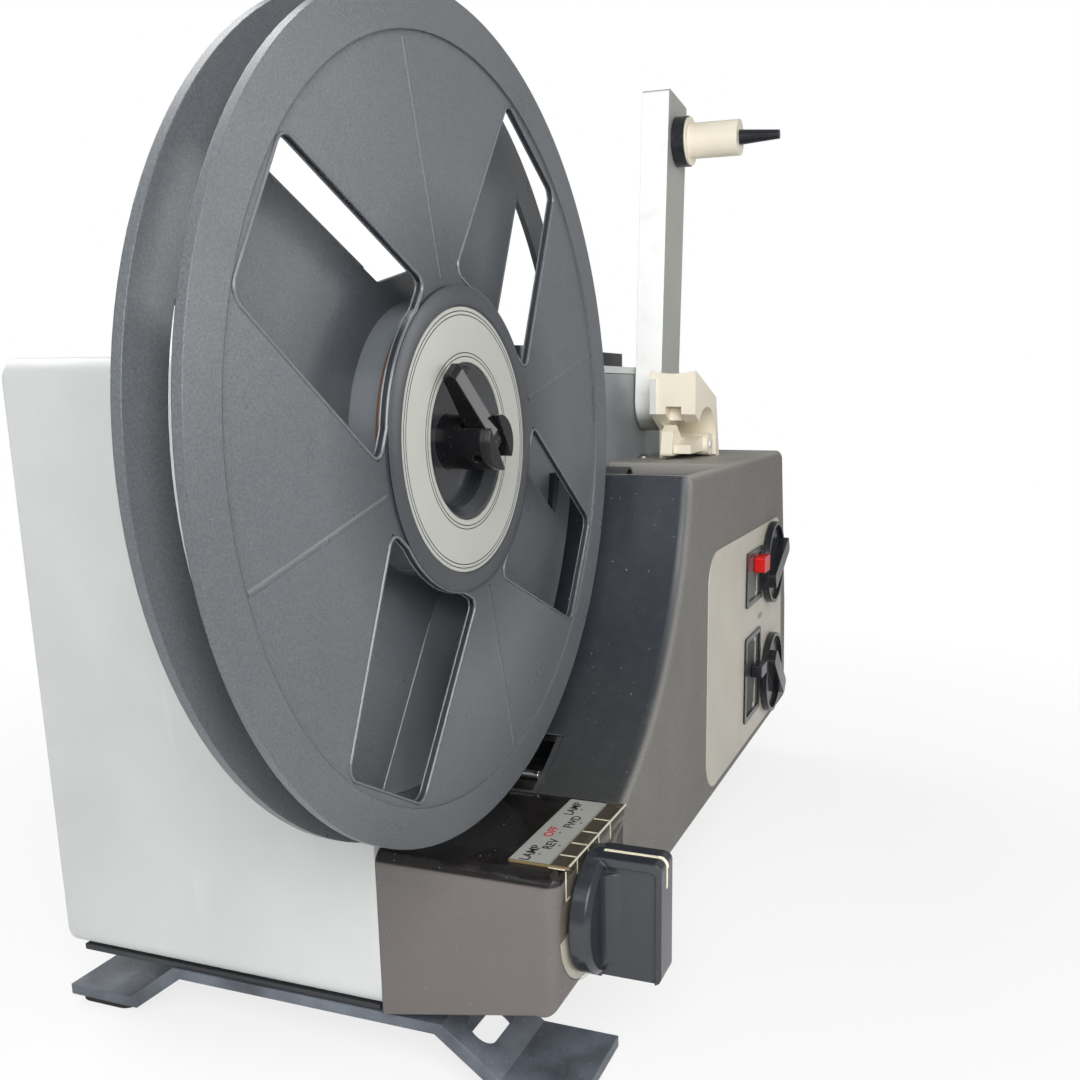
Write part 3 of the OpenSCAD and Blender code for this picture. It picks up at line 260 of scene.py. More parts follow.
def cover_look():
    """The operator cover: grained matt faces, a smoother recess wall darkened by painted shade, painted
    highlights along the deck's top and the wall's edge, a glossy switch block.
    """
    s = Shader("cover_moulding")
    normal = s.rounded_normal(COVER_RADIUS)
    recess = s.outwards(106.2, 105.2)
    rim = s.times(s.outwards(105.3, 105.8), s.outwards(107.2, 106.4))
    # A painted highlight along the rounded edge between the recess wall and the face
    painted_edge_highlight = s.times(rim, s.along("Y", -19.5, -21.5))
    block = s.along("X", 39.8, 39.2)
    block_top = s.times(block, s.along("Z", -100.4, -99.9))
    deck = s.times(s.along("Z", -20.6, -19.6), s.along("Y", -22.3, -21.0))
    smooth = s.math("MAXIMUM", recess, block)
    grained = s.math("SUBTRACT", 1.0, smooth)
    # Painted shade on the recess wall: dark blue-grey high up, lighter lower down by the switch block,
    # where light falls on it
    wall_painted_shade = s.mix(s.along("Z", -60, -96), srgb(40, 44, 52), srgb(54, 56, 56))
    # The deck lightens towards its top rim: a painted highlight where light from above falls
    deck_with_painted_highlight = s.mix(s.along("Z", -18.6, -15.4), srgb(116, 116, 115), srgb(152, 149, 143))
    shade = s.patches(22, 5, 0.0, 0.08)
    speckle = s.times(grained, s.span(s.noise(1900, 2), 0.35, 0.65, 0.0, 0.16))
    smudge = s.times(smooth, s.span(s.noise(260, 10), 0.42, 0.8, 0.0, 0.03))
    dots = s.span(s.noise(1000, 1), 0.765, 0.78, 0.0, 0.35)
    worn = s.times(s.edge(normal), s.patches(120, 4, 0.0, 0.22))
    base = s.layered(
        srgb(104, 102, 97),
        (deck, deck_with_painted_highlight),
        (recess, wall_painted_shade),
        (s.times(painted_edge_highlight, 0.2), srgb(136, 138, 140)),
        (block, srgb(101, 96, 94)),
        (block_top, srgb(29, 27, 26)),
        (shade, (0.02, 0.02, 0.022)),
        (speckle, srgb(160, 157, 148)),
        (smudge, srgb(150, 149, 144)),
        (dots, srgb(190, 188, 180)),
        (worn, srgb(170, 170, 168)),
    )
    rough = s.patches(45, 4, 0.5, 0.6)
    for area, drop in ((recess, 0.14), (block, 0.2), (block_top, 0.22)):
        rough = s.math("SUBTRACT", rough, s.times(area, drop))
    grain = s.times(s.noise(2200, 2), s.span(grained, 0.0, 1.0, 0.1, 1.0))
    s.surface(base, rough, s.bump(grain, 0.3, normal), spec=0.4)
    return s.material


def reel_look():
    """Reel plastic: pebbled, darker towards the hub, with painted shade on the walls of its windows."""
    s = Shader("reel_moulding")
    normal = s.rounded_normal(SMALL_RADIUS)
    colour = srgb(80, 84, 88)
    pebble = s.noise(2400, 2)
    # Painted shade on the walls of the windows, which face sideways inside the rim
    sideways = s.span(s.math("ABSOLUTE", s.facing((0, 1, 0))), 0.5, 0.2)
    window_wall_painted_shade = s.times(sideways, s.outwards(79.8, 79.3))
    base = s.layered(
        s.mix(s.patches(20, 4), tone(colour, 0.92), tone(colour, 1.08)),
        (s.span(pebble, 0.35, 0.7, 0.0, 0.14), srgb(160, 162, 160)),
        (s.outwards(54, 32, 0.0, 0.85), srgb(48, 51, 56)),
        (s.times(window_wall_painted_shade, 0.8), srgb(26, 28, 33)),
    )
    gloss = s.patches(*GLOSS_PATCHES, 0.25, 0.36)
    s.surface(base, gloss, s.bump(pebble, 0.35, normal), spec=0.42)
    return s.material


def core_look():
    """The film core: smooth plastic, with painted shade down in its bore."""
    s = Shader("core_moulding")
    base = s.layered(
        srgb(82, 86, 90),
        # Painted shade down in the bore
        (s.outwards(25, 19), srgb(34, 36, 40)),
        (s.patches(*GLOSS_PATCHES, 0.0, 0.15), srgb(112, 114, 116)),
    )
    s.surface(base, s.patches(80, 4, 0.16, 0.26), s.rounded_normal(SMALL_RADIUS))
    return s.material


def arm_look():
    """The supply arm: grey paint; the face towards the reel is painted white, a painted reflection of
    its bright, shiny face.
    """
    s = Shader("arm_paint")
    # Painted reflection: the face towards the reel is white, turning grey where it curves under its end
    face_painted_reflection = s.span(s.facing((-1, 0, 0)), 0.75, 0.97)
    scuffs = s.span(s.noise(110, 7), 0.6, 0.75, 0.0, 0.2)
    base = s.layered(
        s.mix(s.patches(26, 4), srgb(158, 161, 154), srgb(168, 171, 164)),
        (face_painted_reflection, srgb(250, 251, 250)),
        (scuffs, srgb(200, 200, 196)),
    )
    normal = s.bump(s.noise(*FINE_GRAIN), 0.08, s.rounded_normal(USUAL_RADIUS))
    s.surface(base, s.patches(*GLOSS_PATCHES, 0.36, 0.46), normal)
    return s.material


def exit_look():
    """The film exit: black inside, its near edge in the painted-shade colour of the wall round it."""
    s = Shader("exit_moulding")
    base = s.layered(
        srgb(12, 12, 13),
        # Painted shade: the near edge takes the wall's shaded colour
        (s.along("Y", 5.1, 4.9), srgb(58, 60, 64)),
        (s.span(s.noise(300, 4), 0.4, 0.7, 0.0, 0.15), srgb(90, 88, 84)),
    )
    s.surface(base, s.patches(*GLOSS_PATCHES, 0.4, 0.5), s.rounded_normal(SMALL_RADIUS))
    return s.material


def clear_look():
    """Thin clear moulding: most light goes straight through, a share shows its tint and its gloss."""
    s = Shader("clear_moulding")
    tint = srgb(132, 122, 98)
    base = s.mix(s.noise(90, 3), tone(tint, 0.8), tint)
    s.surface(base, s.patches(120, 3, 0.06, 0.14), s.rounded_normal(SMALL_RADIUS))
    s.main.inputs["Alpha"].default_value = 0.14
    return s.material


def glass_look():
    """Optical glass, with a faint smear in its gloss."""
    s = Shader("optical_glass")
    tint = (0.93, 0.95, 0.98)
    base = s.mix(s.noise(40, 3), tone(tint, 0.97), tint)
    s.surface(base, s.patches(120, 3, 0.03, 0.09), s.rounded_normal(SMALL_RADIUS))
    s.main.inputs["Transmission Weight"].default_value = 1.0
    s.main.inputs["IOR"].default_value = 1.47
    return s.material


LOOKS = {
    "housing_grey": coated("housing_paint", srgb(200, 203, 201), 0.42, grain=0.05, scuff=0.15,
                           tint=0.05),
    "plate_blue_grey": coated("plate_paint", srgb(136, 141, 144), 0.45, grain=0.15, scuff=0.2),
    "dark_sheet": coated("black_paint", srgb(38, 40, 44), 0.5, grain=0.15, scuff=0.3),
    "cover_grey": cover_look(),
    "panel_beige": coated("panel_paint", srgb(188, 183, 170), 0.4, tint=0.04, scuff=0.1, edge_wear_and_highlight=0.4),
    "black_plastic": coated("black_moulding", srgb(30, 32, 37), 0.22, dust=0.10, edge_wear_and_highlight=0.2),
    "red_plastic": coated("red_moulding", srgb(205, 14, 6), 0.28, tint=0.06),
    "silver_plate": coated("silver_foil", srgb(176, 177, 170), 0.4, metal=0.25, grain=0.06, tint=0.04,
                           edge_wear_and_highlight=0.1),
    "clear_plastic": clear_look(),
    "cream_plastic": coated("cream_moulding", srgb(238, 230, 211), 0.35, tint=0.04, dust=0.08),
    "bright_metal": coated("bright_plating", srgb(225, 225, 222), 0.14, metal=1.0, tint=0.05, edge_wear_and_highlight=0.0),
    "steel": coated("turned_steel", srgb(176, 177, 178), 0.3, metal=1.0, tint=0.06),
    "brass": coated("sintered_bronze", srgb(190, 158, 98), 0.4, metal=1.0, grain=0.2),
    "reel_plastic": reel_look(),
    "arm_grey": arm_look(),
    "rubber": coated("foot_rubber", srgb(30, 30, 31), 0.75, grain=0.3, edge_wear_and_highlight=0.1),
    "foot_grey": coated("foot_paint", srgb(90, 96, 105), 0.5, grain=0.3, scuff=0.8, dust=0.3, tint=0.45,
                        mottle=70, edge_wear_and_highlight=0.7),
    "glass": glass_look(),
    "motor_metal": coated("motor_paint", srgb(96, 102, 118), 0.45, grain=0.2),
    "insulator": coated("insulating_moulding", srgb(112, 72, 46), 0.5, grain=0.2),
}
# Gloss black: its pale edges are a painted highlight along them
GLOSS_BLACK = coated("gloss_black", srgb(12, 12, 14), 0.1, spec=0.4, tint=0.1, dust=0.05, edge_wear_and_highlight=0.5)
OWN_LOOKS = {
    "guide_hook": coated("dull_wire", srgb(96, 96, 98), 0.35, metal=0.9, tint=0.06),
    # Painted reflection: the plated strips get a near-white base with little metal, standing in for the
    # bright light they reflect
    "inlet_strips": coated("plated_strip_painted_reflection", srgb(236, 236, 232), 0.16, metal=0.2, tint=0.03, edge_wear_and_highlight=0.0),
    "exit_guide": exit_look(),
    "reel_core": core_look(),
    "take_up_spindle": GLOSS_BLACK,
    "spindle_latch": GLOSS_BLACK,
    "mode_knob": coated("knob_moulding", srgb(40, 43, 49), 0.16, spec=0.6, tint=0.06, dust=0.04,
                        edge_wear_and_highlight=0.3, radius=0.0006),
}

for row in frame["record"]["subparts"]:
    node_mesh = nodes[row["node"]].data
    node_mesh.materials.clear()
    node_mesh.materials.append(OWN_LOOKS.get(row["node"], LOOKS[row["material_slot"]]))

# Looks of the pieces added below
INK = coated("ink", srgb(28, 28, 30), 0.5, tint=0.05, edge_wear_and_highlight=0.0)
RED_INK = coated("red_ink", srgb(186, 40, 60), 0.5, tint=0.05, edge_wear_and_highlight=0.0)
CREAM_LINE = coated("cream_line", srgb(240, 232, 206), 0.4, tint=0.03, edge_wear_and_highlight=0.0)
SQUARE_INK = coated("square_ink", srgb(50, 47, 41), 0.4, tint=0.1, edge_wear_and_highlight=0.0)
GREY_FIELD = coated("grey_field", srgb(84, 85, 84), 0.4, tint=0.1, edge_wear_and_highlight=0.0)
FAINT_INK = coated("faint_ink", srgb(150, 145, 132), 0.5, tint=0.05, edge_wear_and_highlight=0.0)
PALE_STRIP = coated("pale_strip", srgb(206, 201, 186), 0.3, tint=0.04, edge_wear_and_highlight=0.0)
AMBER_EDGE = coated("amber_edge", srgb(126, 110, 76), 0.2, tint=0.15, edge_wear_and_highlight=0.0)
FILM = coated("film_stock", srgb(86, 54, 34), 0.22, tint=0.1, edge_wear_and_highlight=0.0)
REEL_EDGE = coated("reel_edge", srgb(88, 91, 95), 0.17, tint=0.06, spec=0.8, edge_wear_and_highlight=0.0)


# Mesh building, in millimetres from the reel

WORD_RELIEF, WORD_WEIGHT = 0.02, 0.04


def add_mesh(name, mesh, look, body):
    """Gives a mesh in metres its look, as a piece that rides on a body."""
    mesh.materials.clear()
    mesh.materials.append(look)
    piece = put(name, mesh)
    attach(piece, body)


def add_piece(name, bm, look, body, crease=35):
    """Turns a mesh being built into a piece; edges sharper than crease degrees stay sharp."""
    bmesh.ops.recalc_face_normals(bm, faces=bm.faces)
    to_frame = Matrix.Scale(MM, 4) @ Matrix.Translation(-ORIGIN)
    bmesh.ops.transform(bm, matrix=to_frame, verts=bm.verts)
    mesh = bpy.data.meshes.new(name)
    bm.to_mesh(mesh)
    bm.free()
    mesh.shade_smooth()
    mesh.set_sharp_from_angle(angle=math.radians(crease))
    add_mesh(name, mesh, look, body)


def add_words(name, words, size, place, look, standing=False):
    """Function words as thin raised letters, lying on a top face or standing on the control face."""
    curve = bpy.data.curves.new(name, "FONT")
    curve.body = words
    curve.size = size * MM
    curve.extrude = WORD_RELIEF * MM
    curve.offset = WORD_WEIGHT * MM
    curve.align_x = "CENTER"
    curve.align_y = "CENTER"
    drawn = put(name + "_curve", curve)
    bpy.context.view_layer.update()
    depsgraph = bpy.context.evaluated_depsgraph_get()
    mesh = bpy.data.meshes.new_from_object(drawn.evaluated_get(depsgraph))
    bpy.data.objects.remove(drawn)
    tilt = Matrix.Rotation(math.radians(90 if standing else 0), 4, "X")
    mesh.transform(Matrix.Translation(at(*place)) @ tilt)
    add_mesh(name, mesh, look, BODY)


def polar(radius, degrees, centre=AXIS):
    a = math.radians(degrees)
    return centre[0] + radius * math.cos(a), centre[1] + radius * math.sin(a)


def arc_points(centre, radius, start, stop, steps=6):
    """Points of an arc between two angles in degrees."""
    return [polar(radius, start + (stop - start) * k / steps, centre) for k in range(steps + 1)]


def turned(u, v, degrees):
    """A point given along and across a spoke, turned to that spoke's angle."""
    a = math.radians(degrees)
    return u * math.cos(a) - v * math.sin(a), u * math.sin(a) + v * math.cos(a)


def rectangle(low, high):
    """Outline between two opposite corners."""
    return [low, (high[0], low[1]), high, (low[0], high[1])]


def upright(point, height):
    """An outline in x and z, at a place along y."""
    return (point[0], height, point[1])


def lying(point, height):
    """An outline in x and y, at a height."""
    return (point[0], point[1], height)


def add_prism(bm, outline, low, high, lift):
    """Closed solid between two copies of an outline; lift puts an outline's point at a height."""
    rings = [[bm.verts.new(lift(p, h)) for p in outline] for h in (low, high)]
    bm.faces.new(rings[0])
    bm.faces.new(rings[1])
    for i in range(len(outline)):
        j = (i + 1) % len(outline)
        bm.faces.new((rings[0][i], rings[0][j], rings[1][j], rings[1][i]))


def add_box(bm, low, high):
    add_prism(bm, rectangle(low[:2], high[:2]), low[2], high[2], lying)


def add_lathe(bm, profile, segments=128, lift=upright, centre=AXIS):
    """Revolves a closed profile of radius and height round an axis along y, or z where it lies."""
    rings = []
    for k in range(segments):
        a = 2 * math.pi * k / segments
        rings.append([bm.verts.new(lift((centre[0] + r * math.cos(a), centre[1] + r * math.sin(a)), h))
                      for r, h in profile])
    for k in range(segments):
        near, far = rings[k], rings[(k + 1) % segments]
        for i in range(len(profile)):
            j = (i + 1) % len(profile)
            bm.faces.new((near[i], near[j], far[j], far[i]))


def add_tube(bm, path, radius, sides=8, closed=False):
    """A round bead along a path of points."""
    points = [Vector(p) for p in path]
    count = len(points)
    rings = []
    up = Vector((0, 1, 0))
    for i, p in enumerate(points):
        ahead = points[(i + 1) % count] if closed or i + 1 < count else p
        behind = points[i - 1] if closed or i > 0 else p
        along = (ahead - behind).normalized()
        side = along.cross(up).normalized()
        top = side.cross(along).normalized()
        rings.append([bm.verts.new(p + radius * (math.cos(t) * side + math.sin(t) * top))
                      for t in (2 * math.pi * k / sides for k in range(sides))])
    for i in range(count if closed else count - 1):
        near, far = rings[i], rings[(i + 1) % count]
        for k in range(sides):
            m = (k + 1) % sides
            bm.faces.new((near[k], near[m], far[m], far[k]))
    if not closed:
        bm.faces.new(rings[0])
        bm.faces.new(rings[-1])


# Take-up reel: beads round its windows and rim, creases, printed rings, hub ring, a last turn of film

# Flange faces along y, number of windows, angles of the first window and the first crease
FLANGE_FACE, FLANGE_BACK, REAR_FACE = 0.6, 1.95, 11.0
WINDOWS, FIRST_WINDOW, FIRST_CREASE = 4, 60, 105
# Ends of a window along its spoke, its half widths, its corners, and the angle its sides face
WINDOW_IN, WINDOW_OUT = 33.6, 78.1
HALF_IN, HALF_OUT, HALF_FROM = 20.1, 15.6, 30.5
INNER_CORNER, OUTER_CORNER = 2.2, 3.0
ARC_INSET, SIDE_INSET = 0.4, 0.3
SIDE_ANGLE = 88
# Place along y, radius and outward shift of the beads on a front window's two edges
WINDOW_BEADS = ((FLANGE_FACE, 0.36, 0.28), (FLANGE_BACK, 0.2, 0.05))
BEAD_SIDES = 10
# Beads on the sides of the rear windows: ends along the spoke, half widths there, radius
REAR_IN, REAR_OUT = HALF_FROM + 6, WINDOW_OUT - 1
REAR_HALF_IN, REAR_HALF_OUT = HALF_IN - 0.6, HALF_OUT
REAR_BEAD = 0.25
CREASE_IN, CREASE_OUT, CREASE_Y = 35, 79.5, 2.1
CREASE_RADIUS, CREASE_SIDES = 1.65, 48
RIM_RADIUS, RIM_BEAD, RIM_POINTS = 88.7, 0.3, 144
BEAD_CREASE = 60
PRINTED_RINGS = (27.9, 27.1, 19.2, 18.4)
RING_HALF, RING_FRONT, RING_BACK = 0.1, -0.03, 0.05
HUB_PROFILE = ((28.9, 0.0), (29.3, -0.35), (32.2, -0.35), (33.3, 0.1), (33.3, 0.3), (28.9, 0.3))
FILM_INNER, FILM_OUTER = (30.55, 3.8), (31.0, 4.4)


def window_outline(spoke, grow):
    """Outline of a front window, set outwards by grow."""
    arc = math.degrees(math.acos((HALF_FROM + ARC_INSET) / WINDOW_IN))
    inner = (HALF_FROM + INNER_CORNER, HALF_IN - SIDE_INSET - INNER_CORNER)
    outer = (WINDOW_OUT - OUTER_CORNER, HALF_OUT - OUTER_CORNER)
    upper = arc_points(AXIS, WINDOW_IN - grow, 0, arc)
    upper += arc_points(inner, INNER_CORNER + grow, 180, SIDE_ANGLE)
    upper += arc_points(outer, OUTER_CORNER + grow, SIDE_ANGLE, 0)
    lower = [(u, -v) for u, v in reversed(upper[1:])]
    return [turned(u, v, spoke) for u, v in upper + lower]


def add_flat_tube(bm, outline, y, radius, **settings):
    """A bead along an outline in x and z, at a place along y."""
    add_tube(bm, [(x, y, z) for x, z in outline], radius, **settings)


def dress_reel():
    lips = bmesh.new()
    creases = bmesh.new()
    for k in range(WINDOWS):
        step = 360 * k / WINDOWS
        spoke = FIRST_WINDOW + step
        for y, radius, grow in WINDOW_BEADS:
            add_flat_tube(lips, window_outline(spoke, grow), y, radius, sides=BEAD_SIDES, closed=True)
        for side in (-1, 1):
            near = turned(REAR_IN, side * REAR_HALF_IN, spoke)
            far = turned(REAR_OUT, side * REAR_HALF_OUT, spoke)
            add_flat_tube(lips, (near, far), REAR_FACE, REAR_BEAD, sides=BEAD_SIDES)
        ends = [polar(r, FIRST_CREASE + step) for r in (CREASE_IN, CREASE_OUT)]
        add_flat_tube(creases, ends, CREASE_Y, CREASE_RADIUS, sides=CREASE_SIDES)
    rim = arc_points(AXIS, RIM_RADIUS, 0, 360 - 360 / RIM_POINTS, RIM_POINTS - 1)
    add_flat_tube(lips, rim, RIM_BEAD, RIM_BEAD, closed=True)
    add_piece("reel_window_lips", lips, REEL_EDGE, REEL, crease=BEAD_CREASE)
    add_piece("reel_creases", creases, LOOKS["reel_plastic"], REEL, crease=BEAD_CREASE)
    rings = bmesh.new()
    for r in PRINTED_RINGS:
        add_lathe(rings, rectangle((r - RING_HALF, RING_FRONT), (r + RING_HALF, RING_BACK)))
    add_piece("reel_label_rings", rings, INK, REEL)
    hub = bmesh.new()
    add_lathe(hub, HUB_PROFILE)
    add_piece("reel_hub_ring", hub, LOOKS["reel_plastic"], REEL)
    film = bmesh.new()
    add_lathe(film, rectangle(FILM_INNER, FILM_OUTER))
    add_piece("film_turns", film, FILM, REEL)


dress_reel()


# Switch block: words, dots, index marks and the edges of the clear index cover

PLATE_TOP = -97.1
WORD_SIZE = 3.5
WORDS = (
    ("lamp_rear", "LAMP", 2.9, -11.4),
    ("rev", "REV", 9.0, -14.1),
    ("off", "OFF", 16.0, -11.3),
    ("fwd", "FWD", 23.4, -14.1),
    ("lamp_front", "LAMP", 31.7, -11.0),
)
WORD_HEIGHT = PLATE_TOP + 0.02
DOT_RADIUS, DOT_AWAY = 0.3, 2.2
DOT_LOW, DOT_HIGH = PLATE_TOP - 0.05, PLATE_TOP + 0.03
# Marks and the squares between them on the index strip: ends along y, tops
MARKS_X = (-2.4, 4.9, 12.2, 19.6, 28.0)
STRIP_END, STRIP_LOW = 37.6, -97.6
MARK_HALF, MARK_NEAR, MARK_FAR, MARK_TOP = 0.25, -22.4, -18.2, -97.4
SQUARE_GAP, SQUARE_NEAR, SQUARE_FAR, SQUARE_TOP = 0.5, -22.3, -18.3, -97.42
# The marks go on down the operator face, each by its own length, the first with a foot
MARKS_DOWN = (7.0, 3.6, 2.2, 2.6, 4.2)
DOWN_HALF, DOWN_TOP, DOWN_FROM = 0.2, -98.0, -98.2
PRINT_FRONT, PRINT_BACK = -22.62, -22.46
FOOT_REACH, FOOT_LOW, FOOT_TOP = 2.4, -105.5, -105.1
# The mode knob's axis in x and z, and the pale crescent round it
KNOB = (11.0, -113.0)
CRESCENT_OUT, CRESCENT_IN = 17.3, 11.0
CRESCENT_FROM, CRESCENT_TO, CRESCENT_STEPS = 185, 320, 16
CRESCENT_FRONT, CRESCENT_BACK = -22.6, -22.45
# Rear end and front bend of the clear index cover
COVER_END = ((-2.5, -23.4, -97.55), (-2.05, -8.0, -96.9))
COVER_BEND = ((-2.0, -23.35, -96.65), (37.9, -23.35, -96.65))
BEND_RADIUS = 0.28


def dress_label():
    dots = bmesh.new()
    for name, text, x, y in WORDS:
        look = RED_INK if text == "OFF" else INK
        add_words("word_" + name, text, WORD_SIZE, (x, y, WORD_HEIGHT), look)
        circle = arc_points((x, y - DOT_AWAY), DOT_RADIUS, 0, 330, 11)
        add_prism(dots, circle, DOT_LOW, DOT_HIGH, lying)
    add_piece("label_dots", dots, INK, BODY)


def dress_index():
    squares = bmesh.new()
    lines = bmesh.new()
    for x, end, down in zip(MARKS_X, MARKS_X[1:] + (STRIP_END,), MARKS_DOWN):
        add_box(squares, (x + SQUARE_GAP, SQUARE_NEAR, STRIP_LOW),
                (end - SQUARE_GAP, SQUARE_FAR, SQUARE_TOP))
        add_box(lines, (x - MARK_HALF, MARK_NEAR, STRIP_LOW), (x + MARK_HALF, MARK_FAR, MARK_TOP))
        add_box(lines, (x - DOWN_HALF, PRINT_FRONT, DOWN_FROM - down),
                (x + DOWN_HALF, PRINT_BACK, DOWN_TOP))
    first = MARKS_X[0]
    add_box(lines, (first - DOWN_HALF, PRINT_FRONT, FOOT_LOW),
            (first + FOOT_REACH, PRINT_BACK, FOOT_TOP))
    add_piece("index_squares", squares, SQUARE_INK, BODY)
    add_piece("index_lines", lines, CREAM_LINE, BODY)


def dress_index_cover():
    crescent = bmesh.new()
    outline = arc_points(KNOB, CRESCENT_OUT, CRESCENT_FROM, CRESCENT_TO, CRESCENT_STEPS)
    outline += arc_points(KNOB, CRESCENT_IN, CRESCENT_TO, CRESCENT_FROM, CRESCENT_STEPS)
    add_prism(crescent, outline, CRESCENT_FRONT, CRESCENT_BACK, upright)
    add_piece("cover_crescent", crescent, PALE_STRIP, BODY)
    end = bmesh.new()
    add_box(end, *COVER_END)
    add_piece("cover_end", end, AMBER_EDGE, BODY)
    bend = bmesh.new()
    add_tube(bend, COVER_BEND, BEND_RADIUS)
    add_piece("cover_bend", bend, PALE_STRIP, BODY)


dress_label()
dress_index()
dress_index_cover()


# Mode knob: index line over the wing and down its end

# Half width of each straight stretch, and its opposite corners in y and z
END_HALF = 0.45
STRETCHES = (
    (0.5, (-42.2, -97.6), (-27.2, -97.36)),
    (END_HALF, (-43.12, -105.0), (-42.9, -99.0)),
)
CORNER, CORNER_RADIUS, CORNER_FROM, CORNER_TO = (-41.0, -99.5), 2.0, 85, 185


def dress_mode_knob():
    line = bmesh.new()
    middle = KNOB[0]
    for half, low, high in STRETCHES:
        add_box(line, (middle - half, *low), (middle + half, *high))
    corner = arc_points(CORNER, CORNER_RADIUS, CORNER_FROM, CORNER_TO)
    add_tube(line, [(middle, y, z) for y, z in corner], END_HALF)
    add_piece("mode_index_line", line, CREAM_LINE, "mode_knob")


dress_mode_knob()


# Control panel: dark fields behind the sliders, painted shade in their slots; faint function words
# under the knobs

PANEL_FACE = -22.9
FIELD_FRONT, FIELD_BACK = PANEL_FACE - 0.08, PANEL_FACE + 0.05
# Room for a slider's stem, and the bezel's frame at the left, at the right and above or below
STEM_X, STEM_GAP = 199.5, 2.2
FRAME_LEFT, FRAME_RIGHT, FRAME_HIGH = 2.9, 1.9, 2.1
PANEL_WORDS = (("focus", -71.5), ("speed", -79.5))
PANEL_WORD_SIZE, PANEL_WORD_X, PANEL_WORD_Y = 3.0, 208.5, PANEL_FACE - 0.03


def dress_panel():
    dark = bmesh.new()
    grey = bmesh.new()
    for node, left in (("format_bezel", grey), ("framing_bezel", dark)):
        low, high = (Vector(c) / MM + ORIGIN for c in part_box(node))
        fields = ((left, low.x + FRAME_LEFT, STEM_X - STEM_GAP),
                  (dark, STEM_X + STEM_GAP, high.x - FRAME_RIGHT))
        for bm, x0, x1 in fields:
            outline = rectangle((x0, low.z + FRAME_HIGH), (x1, high.z - FRAME_HIGH))
            add_prism(bm, outline, FIELD_FRONT, FIELD_BACK, upright)
    # The dark fields are painted shade, standing in for the depth of the slider slots
    add_piece("slider_slot_shade", dark, INK, BODY)
    add_piece("format_field", grey, GREY_FIELD, BODY)
    for name, z in PANEL_WORDS:
        place = (PANEL_WORD_X, PANEL_WORD_Y, z)
        add_words("word_" + name, name.upper(), PANEL_WORD_SIZE, place, FAINT_INK,
                  standing=True)


dress_panel()


# Screw on the deck by the film inlet

SCREW = (186, 20, -15.0)
HEAD_RADIUS, HEAD_HEIGHT, HEAD_SEGMENTS = 2.2, 1.2, 32
FLAT_RADIUS, SHOULDER_HEIGHT = HEAD_RADIUS * 0.6, HEAD_HEIGHT * 0.5
# A profile starts just off its axis, and the head and its slots reach into what they stand on
NEAR_AXIS, SUNK = 0.02, 0.1
SLOT_REACH, SLOT_HALF, SLOT_RELIEF = HEAD_RADIUS * 0.7, 0.18, 0.03


def dress_inlet():
    x, y, z = SCREW
    head_top = z + HEAD_HEIGHT
    profile = ((NEAR_AXIS, head_top), (FLAT_RADIUS, head_top), (HEAD_RADIUS, z + SHOULDER_HEIGHT),
               (HEAD_RADIUS, z - SUNK), (NEAR_AXIS, z - SUNK))
    head = bmesh.new()
    add_lathe(head, profile, HEAD_SEGMENTS, lying, (x, y))
    # The cross slots are dark boxes on the head: painted shade standing in for grooves cut into it
    painted_slot_shade = bmesh.new()
    top = head_top + SLOT_RELIEF
    for dx, dy in ((SLOT_REACH, SLOT_HALF), (SLOT_HALF, SLOT_REACH)):
        add_box(painted_slot_shade, (x - dx, y - dy, top - SUNK), (x + dx, y + dy, top))
    add_piece("inlet_screws", head, LOOKS["steel"], BODY)
    add_piece("inlet_screw_slot_shade", painted_slot_shade, INK, BODY)


dress_inlet()


# Camera, floor and light, in metres

CAMERA_PLACE = (-0.31328, -0.15374, 0.17041)
AZIMUTH, ELEVATION, ROLL = (math.radians(a) for a in (-70.67, 12.19, -0.22))
# Shares of the white surroundings that rays of each kind see, and what is left to light the part
SEEN_SHARES = (("Is Glossy Ray", 0.25), ("Is Transmission Ray", 1.0))
FILL_STRENGTH = 0.18
# The floor's own glow, from below the part out to where the floor is plain white
GLOW_FROM, GLOW_TO, GLOW_LEAST = 0.15, 0.45, 0.78
CENTRE = (0.0, 0.0, 0.13)


def make_camera():
    """A camera placed as the photo's was."""
    data = bpy.data.cameras.new("camera")
    data.lens = 35.68
    data.sensor_width = 36.0
    data.shift_x = -0.074
    data.shift_y = 0.074
    data.clip_start = 0.01
    camera = put("camera", data)
    back = Vector((math.sin(AZIMUTH) * math.cos(ELEVATION), -math.cos(AZIMUTH) * math.cos(ELEVATION),
                   math.sin(ELEVATION)))
    right = Vector((math.cos(AZIMUTH), math.sin(AZIMUTH), 0))
    aim = Matrix((right, back.cross(right), back)).transposed().to_4x4()
    camera.matrix_world = Matrix.Translation(CAMERA_PLACE) @ aim @ Matrix.Rotation(ROLL, 4, "Z")
    bpy.context.scene.camera = camera


def seen(tree):
    """1 for what the camera sees straight or through glass, a share of it in a reflection."""
    path = tree.nodes.new("ShaderNodeLightPath")
    total = path.outputs["Is Camera Ray"]
    for name, share in SEEN_SHARES:
        part = tree.nodes.new("ShaderNodeMath")
        part.operation = "MULTIPLY"
        part.inputs[1].default_value = share
        tree.links.new(path.outputs[name], part.inputs[0])
        node = tree.nodes.new("ShaderNodeMath")
        node.operation = "MAXIMUM"
        tree.links.new(total, node.inputs[0])
        tree.links.new(part.outputs["Value"], node.inputs[1])
        total = node.outputs["Value"]
    return total


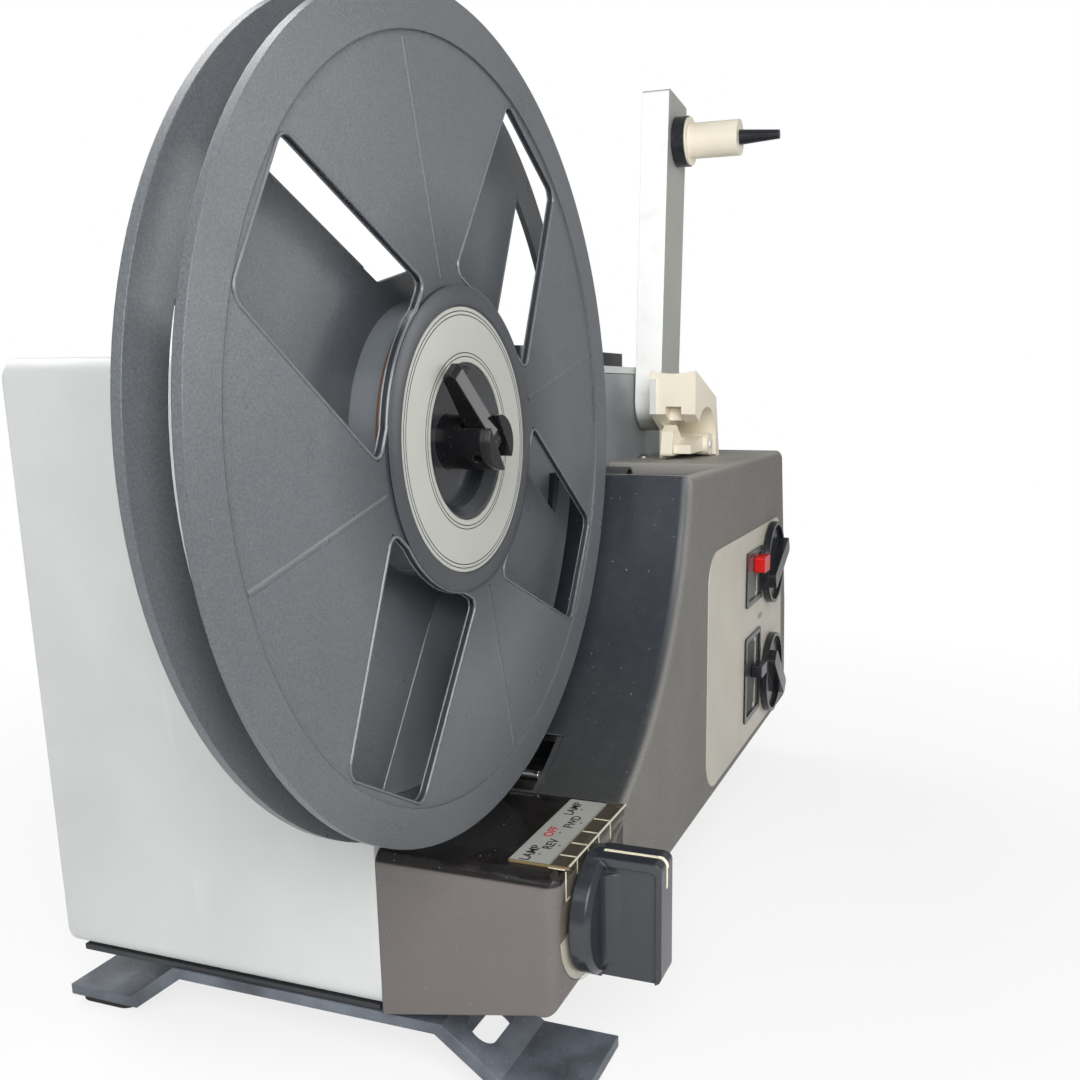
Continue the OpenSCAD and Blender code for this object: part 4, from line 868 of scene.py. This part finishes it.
def make_floor():
    """A pale round floor that fades to plain white away from the object and keeps its shadow."""
    mesh = bpy.data.meshes.new("floor")
    bm = bmesh.new()
    bmesh.ops.create_circle(bm, cap_ends=True, segments=96, radius=4.0)
    bm.to_mesh(mesh)
    bm.free()
    floor = put("floor", mesh)
    floor.location.z = -0.0002
    s = Shader("floor_white")
    s.surface((0.86, 0.86, 0.86), 0.9, spec=0.1)
    glow = s.add("ShaderNodeEmission")
    blend = s.add("ShaderNodeMixShader")
    distance = s.vector_math("LENGTH", s.coords, (0, 0, 0)).outputs["Value"]
    share = s.span(distance, GLOW_FROM, GLOW_TO, GLOW_LEAST, 1.0)
    s.link(s.times(share, seen(s.tree)), blend.inputs["Fac"])
    s.link(s.main.outputs["BSDF"], blend.inputs[1])
    s.link(glow.outputs["Emission"], blend.inputs[2])
    s.link(blend.outputs["Shader"], s.tree.nodes["Material Output"].inputs["Surface"])
    mesh.materials.append(s.material)


def make_world():
    """Soft light from all round, plain white where it is seen."""
    world = bpy.data.worlds.new("studio")
    world.use_nodes = True
    tree = world.node_tree
    backdrop = tree.nodes["Background"]
    backdrop.inputs["Color"].default_value = (1, 1, 1, 1)
    strength = tree.nodes.new("ShaderNodeMapRange")
    strength.inputs["To Min"].default_value = FILL_STRENGTH
    strength.inputs["To Max"].default_value = 1.0
    tree.links.new(seen(tree), strength.inputs["Value"])
    tree.links.new(strength.outputs["Result"], backdrop.inputs["Strength"])
    bpy.context.scene.world = world


def make_lamp(name, place, target, size, power):
    data = bpy.data.lights.new(name, "AREA")
    data.shape = "DISK"
    data.size = size
    data.energy = power
    lamp = put(name, data)
    lamp.location = place
    lamp.rotation_euler = (Vector(target) - Vector(place)).to_track_quat("-Z", "Y").to_euler()


make_camera()
make_floor()
make_world()
make_lamp("key", place=(-0.41, -0.24, 0.33), target=(-0.12, -0.04, 0.16), size=0.34, power=2.9)
make_lamp("side", place=(0.5, -0.78, 0.36), target=CENTRE, size=0.5, power=1.7)
make_lamp("behind", place=(0.2, 0.9, 0.9), target=CENTRE, size=0.9, power=8.0)

bpy.context.scene.view_settings.view_transform = "Standard"
